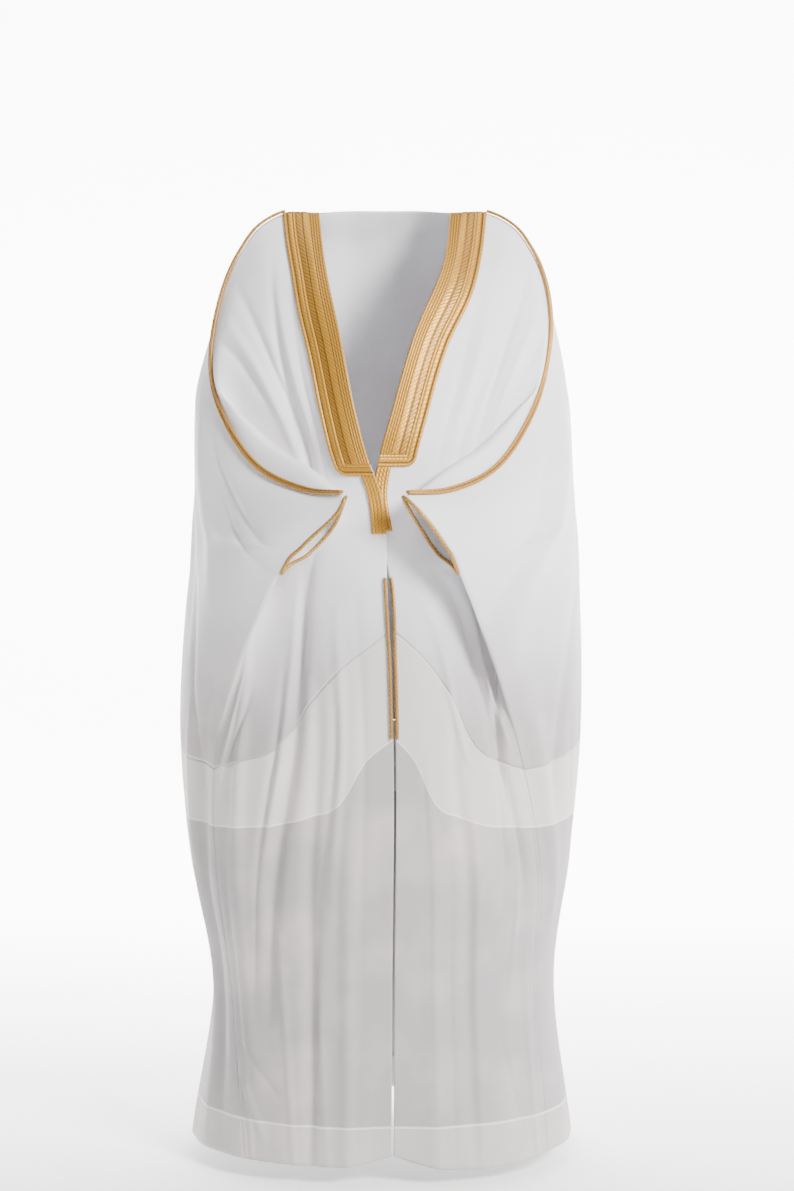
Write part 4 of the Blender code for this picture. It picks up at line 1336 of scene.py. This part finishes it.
@dataclass
class GoldBand:
    """The embroidered band along a front edge: cords couched in lines, and a border that turns at its foot.

    Attributes:
        side: the wearer's side.
        ridges: the cross-section from the outer edge in: place in metres, height, and how much painted shade
            darkens it, most in the low beds.
    """

    side: Side
    across_count: int = 70
    pitch: float = 0.0030
    ridges: tuple[tuple[float, float, float], ...] = (
        (0.0000, 0.0002, 0.2), (0.0012, 0.0024, 0.0), (0.0030, 0.0026, 0.0), (0.0044, 0.0004, 1.0),
        (0.0062, 0.0002, 1.0), (0.0076, 0.0013, 0.1), (0.0100, 0.0015, 0.2), (0.0124, 0.0013, 0.1),
        (0.0138, 0.0003, 0.9), (0.0152, 0.0018, 0.0), (0.0168, 0.0018, 0.0), (0.0182, 0.0003, 0.8),
        (0.0210, 0.0008, 0.45), (0.0260, 0.0009, 0.55), (0.0290, 0.0003, 0.9), (0.0306, 0.0016, 0.05),
        (0.0350, 0.0018, 0.15), (0.0394, 0.0015, 0.1), (0.0410, 0.0003, 0.9), (0.0430, 0.0019, 0.0),
        (0.0450, 0.0003, 0.9), (0.0470, 0.0019, 0.0), (0.0490, 0.0003, 0.9), (0.0512, 0.0020, 0.0),
        (0.0532, 0.0005, 0.8), (0.0552, 0.0021, 0.0), (0.0570, 0.0002, 0.4),
    )

    def relief(self, from_outer: np.ndarray, from_foot: np.ndarray) -> tuple[np.ndarray, np.ndarray]:
        """The height of the threads and the painted shade where they lie low.

        Args:
            from_outer: distance from the band's outer edge, in metres.
            from_foot: distance from its foot, in metres.

        Returns:
            The height above the ground cloth of the band, and how much painted shade darkens it, from 0
            (none) to 1 (most).
        """
        corner = BAND_CORNER
        inside = (np.clip(corner - distance, 0, None) for distance in (from_outer, from_foot))
        rounded = corner - np.hypot(*inside)
        in_corner = (from_outer < corner) & (from_foot < corner)
        nearest = np.where(in_corner, rounded, np.minimum(from_outer, from_foot))
        place = np.clip(np.where(nearest < BAND_BORDER, nearest, from_outer), 0.0, BAND_WIDTH)
        rows = np.array(self.ridges)
        return np.interp(place, rows[:, 0], rows[:, 1]), np.interp(place, rows[:, 0], rows[:, 2])

    def edge_offsets(self, down: np.ndarray) -> np.ndarray:
        """The place across that lies the band's width from the free edge, on each row.

        Args:
            down: places down the panel.

        Returns:
            A place across for each of the band's lines, on each row.
        """
        tries = np.linspace(0.0, 0.3, 61)
        line = FORM.point(Panel.FRONT, self.side, tries[:, None], down[None, :])
        steps = np.linalg.norm(np.diff(line, axis=0), axis=-1)
        reached = np.concatenate([np.zeros((1, len(down))), np.cumsum(steps, axis=0)])
        return np.array([np.interp(self.distances, reached[:, row], tries) for row in range(len(down))]).T

    @property
    def distances(self) -> np.ndarray:
        """Distances from the free edge of the band's lines."""
        return np.linspace(0.0, BAND_WIDTH, self.across_count)

    def build(self) -> bpy.types.Object:
        """Builds the band and dresses it.

        Returns:
            The new object.
        """
        foot = FORM.down_at_height(Panel.FRONT, self.side, 0.0, BAND_FOOT[self.side])
        rough = np.linspace(0.0008, foot, 60)
        edge = FORM.point(Panel.FRONT, self.side, np.zeros_like(rough), rough)
        run = run_along(edge)
        ends = np.concatenate([np.linspace(0.0, run[-1] - BAND_BORDER, round(run[-1] / self.pitch)),
                               np.linspace(run[-1] - BAND_BORDER, run[-1], 26)[1:]])
        down = np.interp(ends, run, rough)
        from_foot = (run[-1] - ends)[None, :]
        across = self.edge_offsets(down)
        into_corner = np.clip(BAND_CORNER - from_foot, 0, None)
        cut = BAND_CORNER - np.sqrt(np.clip(BAND_CORNER ** 2 - into_corner ** 2, 0, None))
        shrink = (BAND_WIDTH - cut) / BAND_WIDTH
        kept = BAND_WIDTH - self.distances[:, None] * shrink
        across = np.array([np.interp(BAND_WIDTH - kept[:, row], self.distances, across[:, row])
                           for row in range(len(down))]).T
        height, dark = self.relief(kept, np.broadcast_to(from_foot, kept.shape))
        down_grid = np.broadcast_to(down, across.shape)
        base = FORM.point(Panel.FRONT, self.side, across, down_grid, BAND_LIFT)
        normal = FORM.outward(Panel.FRONT, self.side, across, down_grid)
        points = base + height[..., None] * normal
        uv = np.stack([kept, np.broadcast_to(ends, kept.shape)], axis=-1)
        name, node = f"gold_band_{self.side.word}", f"band_front_{self.side.word}"
        return band_piece(name, node, Panel.FRONT, self.side, points, uv, dark)

    def build_tail(self) -> bpy.types.Object:
        """Builds the narrow braid that goes on below the band's foot.

        Returns:
            The new object.
        """
        foot = FORM.down_at_height(Panel.FRONT, self.side, 0.0, BAND_FOOT[self.side])
        end = foot + (CUFF_END - foot) * TAIL_FOOT
        down = np.linspace(foot + 0.0003, end, 40)
        count = 22
        shares = np.linspace(0.0, TAIL_WIDTH, count)
        wide = self.edge_offsets(down)
        across = np.array([np.interp(shares, self.distances, wide[:, row]) for row in range(len(down))]).T
        ridge = np.abs(np.sin(np.pi * 4 * shares / TAIL_WIDTH))[:, None]
        height = 0.0003 + 0.0014 * ridge ** 0.6
        down_grid = np.broadcast_to(down, across.shape)
        base = FORM.point(Panel.FRONT, self.side, across, down_grid, BAND_LIFT)
        points = base + (height * np.ones_like(across))[..., None] * FORM.outward(
            Panel.FRONT, self.side, across, down_grid)
        uv = np.stack([np.broadcast_to(shares[:, None], across.shape), down_grid * PANEL_CUT], axis=-1)
        # Painted shade between the braid's ridges.
        dark = (1 - ridge) ** 2 * np.ones_like(across)
        name, node = f"gold_tail_{self.side.word}", f"band_tail_{self.side.word}"
        return band_piece(name, node, Panel.FRONT, self.side, points, uv, dark)


@dataclass
class NeckBand:
    """The same band round the back of the neck, which fans out over each shoulder to meet the front bands."""

    band: GoldBand
    straight: int = 44
    fan: int = 22

    def half(self, side: Side) -> tuple[np.ndarray, np.ndarray, np.ndarray]:
        """Points, places on the band and painted shade from the centre back to the shoulder seam.

        Args:
            side: the wearer's side.

        Returns:
            The points, their places on the band and how much painted shade darkens each.
        """
        distances = self.band.distances
        across = np.concatenate([np.linspace(CENTRE_BACK, 0.0, self.straight), np.zeros(self.fan - 1)])
        turn = np.concatenate([np.full(self.straight, np.pi / 2), np.linspace(np.pi / 2, 0.0, self.fan)[1:]])
        per_across = line_length(FORM.seam_point(side, np.linspace(0.0, 0.08, 20))) / 0.08
        tries = np.linspace(0.0, 0.09, 30)
        fall = FORM.point(Panel.BACK, side, np.zeros_like(tries), tries)
        per_down = line_length(fall) / 0.09
        places = across[:, None] + np.cos(turn)[:, None] * distances / per_across
        down = np.sin(turn)[:, None] * distances / per_down + 0.0006
        height, dark = self.band.relief(BAND_WIDTH - distances, np.ones_like(distances))
        base = FORM.point(Panel.BACK, side, places, down, BAND_LIFT)
        normal = FORM.outward(Panel.BACK, side, places, down)
        points = base + (height * np.ones_like(places))[..., None] * normal
        uv = np.stack(np.broadcast_arrays(distances[None, :], (across * 0.9 - turn * 0.04)[:, None]), axis=-1)
        return points, uv, dark * np.ones_like(places)

    def build(self) -> bpy.types.Object:
        """Builds the band and dresses it."""
        right, left = self.half(Side.RIGHT), self.half(Side.LEFT)
        points, uv, dark = (np.concatenate([one[:0:-1], other]) for one, other in zip(right, left))
        return band_piece("gold_band_neck", "band_neck", Panel.BACK, Side.LEFT, points, uv, dark)


@dataclass
class Cords:
    """The braid over each arm seam, and the cords round the cuffs and down the front edges."""

    side: Side
    braid_yarn: float = 0.0026      # radius of each of the two strands of the arm braid
    braid_lay: float = 0.0130
    cuff_radius: float = 0.0029
    edge_radius: float = 0.0027
    cord_lay: float = 0.0100
    spacing: float = 0.0022
    braid_reach: tuple[float, float] = (0.074, 0.992)       # places across at the arm braid's ends
    edge_reach: tuple[float, float] = (0.880, 0.640)        # heights of the edge cord's ends

    def seam_outward(self, across: np.ndarray) -> np.ndarray:
        """The unit vector out of the seam, midway between the normals of front and back."""
        none = np.zeros_like(across)
        return unit(FORM.outward(Panel.FRONT, self.side, across, none)
                    + FORM.outward(Panel.BACK, self.side, across, none))

    def arm_braid(self) -> bpy.types.Object:
        """Two twisted strands side by side along the seam from the shoulder to the cuff.

        Returns:
            The new object.
        """
        across = np.linspace(*self.braid_reach, 200)
        line = FORM.seam_point(self.side, across) + self.seam_outward(across) * (self.braid_yarn + 0.0010)
        line = evenly_along(line, self.spacing)
        outward = self.seam_outward(np.linspace(*self.braid_reach, len(line)))
        beside = unit(np.cross(outward, unit(np.gradient(line, axis=0))))
        strands = [
            strand(f"arm_strand_{hand}", line, beside, self.braid_yarn, self.braid_lay, 3,
                   offset=0.93 * hand * self.braid_yarn, hand=hand)
            for hand in (1, -1)
        ]
        piece = joined(strands, f"gold_braid_arm_{self.side.word}")
        dress_gold(piece, BRAID_GOLD, f"arm_cord_{self.side.word}")
        return piece

    def cuff_cord(self) -> bpy.types.Object:
        """The cord round the opening of a cuff.

        Returns:
            The new object.
        """
        lines = []
        for panel in (Panel.BACK, Panel.FRONT):
            down = np.linspace(0.02, CUFF_END - 0.012, 80)
            one = np.ones_like(down)
            edge = FORM.point(panel, self.side, one, down)
            inner = FORM.point(panel, self.side, 0.985 * one, down)
            lines.append(edge + unit(edge - inner) * self.cuff_radius)
        line = evenly_along(np.concatenate([lines[0], lines[1][::-1]]), self.spacing, closed=True)
        up = np.tile(np.array([0.0, 0.0, 1.0]), (len(line), 1))
        piece = strand(f"gold_cord_cuff_{self.side.word}", line, up, self.cuff_radius, self.cord_lay, 3,
                       closed=True)
        dress_gold(piece, CORD_GOLD, f"cuff_cord_{self.side.word}")
        return piece

    def edge_cord(self) -> bpy.types.Object:
        """The thin cord that goes on down the front edge, on the face of the panel.

        Returns:
            The new object.
        """
        ends = [FORM.down_at_height(Panel.FRONT, self.side, 0.0, height) for height in self.edge_reach]
        down = np.linspace(*ends, 160)
        zero = np.zeros_like(down)
        edge = FORM.point(Panel.FRONT, self.side, zero, down, CLOTH / 2 + self.edge_radius)
        inner = FORM.point(Panel.FRONT, self.side, zero + 0.02, down, CLOTH / 2 + self.edge_radius)
        beside = unit(inner - edge)
        line = evenly_along(edge + beside * self.edge_radius, self.spacing)
        across = np.tile(np.mean(beside, axis=0), (len(line), 1))
        piece = strand(f"gold_cord_edge_{self.side.word}", line, across, self.edge_radius, self.cord_lay, 3)
        dress_gold(piece, CORD_GOLD, f"edge_cord_{self.side.word}")
        return piece


def dress_gold(piece: bpy.types.Object, finish: GoldThread, node: str) -> None:
    """Gives a piece its gold thread, hangs it on the root and hides the CAD node that it stands for.

    Args:
        piece: the object.
        finish: its gold finish.
        node: the CAD node that it stands for.
    """
    piece.data.materials.clear()
    piece.data.materials.append(gold_material(finish))
    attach(piece, "root")
    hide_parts(node)
    log.info("%s: %d faces", piece.name, len(piece.data.polygons))


@lru_cache
def gold_material(finish: GoldThread) -> bpy.types.Material:
    """The material of a gold finish, made once."""
    return finish.material()

# ---- studio --------------------------------------------------------------------------------------


@dataclass
class Studio:
    """A white cove, large soft lights and the camera."""

    floor_drop: float = 0.022       # from the lowest hem to the floor
    eye: tuple[float, float, float] = (0.0195, -3.040, -0.490)
    tilt_down: float = math.atan(0.037)
    sensor: float = 36.0
    focal_share: float = 1923.0 / 1191.0    # focal length over the height of the picture
    cove_radius: float = 1.2
    cove_behind: float = 2.6
    cove_half_width: float = 7.0
    cove_front: float = -6.0
    cove_top: float = 5.0
    backdrop: str = "fbfbfb"
    backdrop_glow: float = 8.0
    near_glow: float = 0.30         # of the floor in front, dimmer so that it doesn't flatten the folds

    def build(self, lowest: float) -> None:
        """Builds everything around the object.

        Args:
            lowest: the height of the lowest hem in the frame.
        """
        self.cove(lowest - self.floor_drop)
        self.lights()
        self.camera()
        self.world()

    def cove(self, floor: float) -> None:
        """A floor that curves up into the backdrop.

        Args:
            floor: the floor's height in the frame.
        """
        bend = np.linspace(0.0, np.pi / 2, 24)
        y = np.concatenate([[self.cove_front], self.cove_behind + self.cove_radius * np.sin(bend)])
        z = np.concatenate([[0.0], self.cove_radius * (1 - np.cos(bend))])
        y, z = np.append(y, y[-1]), np.append(z, self.cove_top)
        profile = np.stack([np.zeros_like(y), y, z + floor + SHOULDER_HEIGHT], axis=-1)
        offsets = np.array([-self.cove_half_width, self.cove_half_width])
        points = profile[None] + np.array([1.0, 0.0, 0.0]) * offsets[:, None, None]
        uv = points[..., :2]
        made = grid_object("studio_cove", points, uv, {})
        material, tree, output = new_tree("white cove paper")
        place = add_node(tree, "TexCoord").outputs["Object"]
        depth = add_node(tree, "SeparateXYZ", None, {0: place}).outputs[1]
        glow = add_node(tree, "MapRange", {"interpolation_type": "SMOOTHSTEP"}, {
            "Value": depth, "From Min": -0.6, "From Max": 2.2, "To Min": self.near_glow,
            "To Max": self.backdrop_glow})
        paper = add_node(tree, "BsdfPrincipled", None, {
            "Base Color": from_hex(self.backdrop), "Roughness": 0.9, "Specular IOR Level": 0.1,
            "Emission Color": (1.0, 1.0, 1.0, 1.0), "Emission Strength": glow.outputs["Result"]})
        tree.links.new(paper.outputs[0], output.inputs["Surface"])
        made.data.materials.append(material)
        made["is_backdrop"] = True

    def lights(self) -> None:
        """The key from the front on the wearer's left, a broad weak fill, and one from above."""
        self.area("key", (2.3, -2.5, 1.1), (0.0, 0.0, -0.55), 1.1, 300.0, "fffdfb")
        self.area("fill", (-2.4, -3.2, 0.0), (0.0, 0.0, -0.7), 2.4, 8.0, "f6f4ff")
        self.area("top", (0.2, -0.7, 2.2), (0.0, 0.0, -0.4), 1.4, 36.0, "ffffff")

    @staticmethod
    def area(name: str, place: Sequence[float], target: Sequence[float], size: float, watts: float,
             colour: str) -> None:
        """A square soft light aimed at a point.

        Args:
            name: its name.
            place: where it stands.
            target: where it points.
            size: its side, in metres.
            watts: its power.
            colour: its sRGB colour.
        """
        data = bpy.data.lights.new(name, "AREA")
        data.size, data.energy = size, watts
        data.color = from_hex(colour)[:3]
        lamp = bpy.data.objects.new(name, data)
        bpy.context.scene.collection.objects.link(lamp)
        aim = np.array(target) - np.array(place)
        flat = math.hypot(aim[0], aim[1])
        lamp.location = place
        raised, turned = math.atan2(aim[2], flat), math.atan2(aim[1], aim[0])
        lamp.rotation_euler = (math.pi / 2 + raised, 0.0, turned - math.pi / 2)

    def camera(self) -> None:
        """The camera at chest height, in front."""
        data = bpy.data.cameras.new("camera")
        data.sensor_fit = "VERTICAL"
        data.sensor_height = self.sensor
        data.lens = self.sensor * self.focal_share
        camera = bpy.data.objects.new("camera", data)
        bpy.context.scene.collection.objects.link(camera)
        camera.location = self.eye
        camera.rotation_euler = (math.pi / 2 - self.tilt_down, 0.0, 0.0)
        bpy.context.scene.camera = camera

    @staticmethod
    def world() -> None:
        """Even white light from all round."""
        world = bpy.data.worlds.new("studio")
        world.use_nodes = True
        world.node_tree.nodes["Background"].inputs["Color"].default_value = (1.0, 1.0, 1.0, 1.0)
        world.node_tree.nodes["Background"].inputs["Strength"].default_value = 0.13
        bpy.context.scene.world = world


# ---- the whole -----------------------------------------------------------------------------------


def main() -> None:
    """Builds every sub-assembly in order, and the studio below the CAD part's box."""
    logging.basicConfig(level=logging.INFO, format="%(name)s: %(message)s")
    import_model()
    cad_box = [list(map(float, corner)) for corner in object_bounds()]
    bpy.ops.object.select_all(action="DESELECT")
    WOOL.material()
    panels = (
        ClothPanel(Panel.FRONT, (Side.RIGHT,), columns=150),
        ClothPanel(Panel.FRONT, (Side.LEFT,), columns=150),
        ClothPanel(Panel.BACK, (Side.RIGHT, Side.LEFT), columns=130),
    )
    for panel in panels:
        for layer in Layer:
            panel.build(layer)
    for side in Side:
        band = GoldBand(side)
        band.build()
        band.build_tail()
        cords = Cords(side)
        cords.arm_braid()
        cords.cuff_cord()
        cords.edge_cord()
    NeckBand(GoldBand(Side.LEFT)).build()
    Studio().build(cad_box[0][2])


if __name__ == "__main__":
    main()
